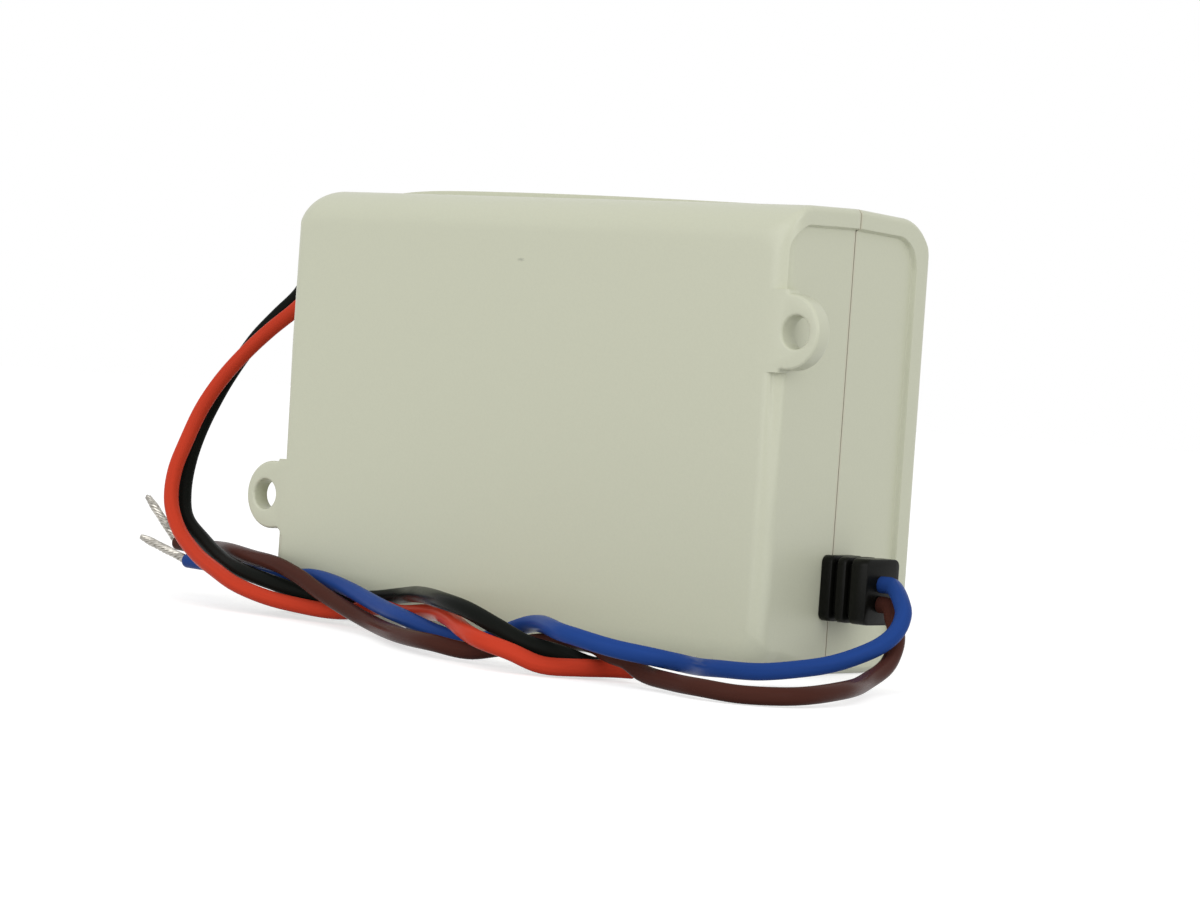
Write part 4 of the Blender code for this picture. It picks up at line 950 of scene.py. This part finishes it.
def relief_rings():
    """Rounded rectangles along x: half sides 3.35 - sink and 4 - sink, radius 0.9 - sink / 2."""
    x, profile = RELIEF_START, []
    for length, sink in RELIEF_STEPS:
        ease, end = 0.16 if sink == 0.0 else 0.02, x + length
        profile += [(x, sink + ease), (x + 0.3 * ease, sink + 0.3 * ease), (x + ease, sink)]
        profile += [(end - ease, sink), (end - 0.3 * ease, sink + 0.3 * ease), (end, sink + ease)]
        x = end
    rings = []
    for x, sink in profile:
        radius = RELIEF_RADIUS - 0.5 * sink
        y, z = rounded_rectangle(RELIEF_HALF_Y - sink, RELIEF_HALF_Z - sink, radius, 8).T
        rings.append(np.stack([np.full(len(y), x), RELIEF_Y + y, RELIEF_Z + z], axis=-1))
    return np.array(rings)


rubber = finish("relief rubber", (0.0050, 0.0052, 0.0042), 0.32, mottle=0.15, size=0.4, bump=0.01)
rubber.node_tree.nodes["Principled BSDF"].inputs["Specular IOR Level"].default_value = 0.10
for end, grid in (("input", relief_rings()), ("output", turned_half(relief_rings()))):
    made = new_piece("relief_block_" + end, mesh_of_grids("relief_block_" + end, [grid]))
    dress(made, rubber, ["strain_relief_" + end])

# %% [markdown]
# ## Inside the case
#
# The board and its parts can't be seen here, but another scene may open the case. Their CAD
# solids have the right shapes, so they stay and get finishes of their own: woven laminate,
# pressed ferrite, taped and enamelled windings, plain films and sleeves, and metal.

# %% Finishes of the inner parts
# Each slot's CAD nodes, colour, roughness, mottle, grain size, bump and metal share
INNER = {
    "board_laminate": (("circuit_board",), (0.045, 0.13, 0.055), 0.45, 0.10, 0.6, 0.01, 0.0),
    "sheet_film": (("insulating_sheet",), (0.62, 0.63, 0.60), 0.35, 0.03, 1.5, 0.005, 0.0),
    "moulding_black": (
        ("transformer_pin_rail", "fuse", "bridge_rectifier", "switching_mosfet",
         "controller_chip", "optocoupler", "output_diode"),
        (0.018, 0.018, 0.020), 0.5, 0.12, 0.25, 0.01, 0.0),
    "film_yellow": (("x_capacitor",), (0.62, 0.47, 0.06), 0.35, 0.05, 0.8, 0.01, 0.0),
    "ferrite": (
        ("transformer_core", "choke_core", "output_choke"),
        (0.045, 0.043, 0.042), 0.6, 0.15, 0.2, 0.02, 0.0),
    "winding_tape": (("transformer_winding",), (0.66, 0.52, 0.08), 0.4, 0.06, 0.7, 0.02, 0.0),
    "enamelled_copper": (
        ("choke_winding_line", "choke_winding_neutral"),
        (0.55, 0.20, 0.07), 0.32, 0.12, 0.3, 0.06, 0.6),
    "capacitor_sleeve": (
        ("bulk_capacitor", "output_capacitor_1", "output_capacitor_2"),
        (0.020, 0.024, 0.040), 0.35, 0.08, 1.0, 0.01, 0.0),
    "disc_blue": (
        ("varistor", "safety_capacitor"), (0.04, 0.12, 0.38), 0.4, 0.08, 0.6, 0.02, 0.0),
    "disc_green": (("inrush_thermistor",), (0.05, 0.14, 0.07), 0.45, 0.08, 0.6, 0.02, 0.0),
    "resistor_body": (
        ("snubber_resistor", "sense_resistor"), (0.42, 0.34, 0.22), 0.5, 0.06, 0.5, 0.01, 0.0),
    "heatsink_aluminium": (
        ("mosfet_heatsink",), (0.72, 0.73, 0.74), 0.38, 0.05, 0.4, 0.008, 1.0),
}


def refinish(node, made):
    """Gives a CAD node a new finish in place of its plain one."""
    NODES[node].data.materials.clear()
    NODES[node].data.materials.append(made)


for slot, (names, *recipe) in INNER.items():
    made = finish(slot.replace("_", " "), *recipe)
    for name in names:
        refinish(name, made)
for colour in ROUTES:
    made = finish("inner wire " + colour, WIRE_COLOURS[colour], 0.38, 0.06, 0.6, 0.005)
    refinish("inner_lead_" + colour, made)
print("inner finishes:", len(INNER) + len(ROUTES))

# %% [markdown]
# ## Floor, surroundings and light
#
# The photograph is on pure white with hardly a shadow. The floor is a plain white that also
# glows a little for the camera and for reflections, so it reaches white without more light on
# the object, and still darkens where the object shades it. The world does the same: white to
# the camera, and a softer, even light to everything else. One large lamp in front and one at
# the right give the base face and the end wall their tones and the wires their highlights.

# %% Floor
FLOOR_SHADE, FLOOR_GLOW, FLOOR_HALF = 0.62, 0.62, 4
WHITE = (1.0, 1.0, 1.0, 1.0)


def glow_for_view(tree, strength_seen, strength_else):
    """A strength that differs for rays the camera sees straight, mirrored or through glass."""
    seen = add_node(tree, "ShaderNodeLightPath", "Is Camera Ray")
    rays = seen.node.outputs
    for name in ("Is Glossy Ray", "Is Transmission Ray"):
        seen = maths(tree, "MAXIMUM", seen, rays[name])
    return add_node(tree, "ShaderNodeMapRange", "Result", {
        "Value": seen, "To Min": strength_else, "To Max": strength_seen})


floor_white = bpy.data.materials.new("floor white")
floor_white.use_nodes = True
tree = floor_white.node_tree
shader = tree.nodes["Principled BSDF"]
shader.inputs["Base Color"].default_value = (FLOOR_SHADE, FLOOR_SHADE, FLOOR_SHADE, 1.0)
shader.inputs["Roughness"].default_value = 1.0
shader.inputs["Specular IOR Level"].default_value = 0.0
shader.inputs["Emission Color"].default_value = WHITE
tree.links.new(glow_for_view(tree, FLOOR_GLOW, 0.0), shader.inputs["Emission Strength"])
mesh = bpy.data.meshes.new("floor")
corners = [(sx * FLOOR_HALF, sy * FLOOR_HALF, 0) for sx, sy in ((-1, -1), (1, -1), (1, 1), (-1, 1))]
mesh.from_pydata(corners, [], [(0, 1, 2, 3)])
mesh.materials.append(floor_white)
floor = new_piece("floor", mesh)
print("floor:", 2 * FLOOR_HALF, "m wide")

# %% World and lamps
WORLD_SEEN, WORLD_LIGHT = 1.0, 0.72
world = bpy.data.worlds.new("white surroundings")
world.use_nodes = True
bpy.context.scene.world = world
tree = world.node_tree
background = tree.nodes["Background"]
background.inputs["Color"].default_value = WHITE
tree.links.new(glow_for_view(tree, WORLD_SEEN, WORLD_LIGHT), background.inputs["Strength"])


def soft_lamp(name, place, target, size, watts):
    """A square lamp at a place, facing a target."""
    data = bpy.data.lights.new(name, "AREA")
    data.size, data.energy = size, watts
    lamp = bpy.data.objects.new(name, data)
    way = Vector(place) - Vector(target)
    lamp.matrix_world = Matrix.Translation(place) @ way.to_track_quat("Z", "Y").to_matrix().to_4x4()
    bpy.context.scene.collection.objects.link(lamp)


soft_lamp("lamp in front", place=(-0.10, -0.80, 0.28), target=(0.0, 0.0, 0.03),
          size=0.6, watts=2.0)
soft_lamp("lamp at the right", place=(0.90, -0.25, 0.35), target=(0.04, 0.0, 0.03),
          size=0.6, watts=2.5)
bpy.context.scene.view_settings.view_transform = "Standard"
print("lamps:", len(bpy.data.lights))
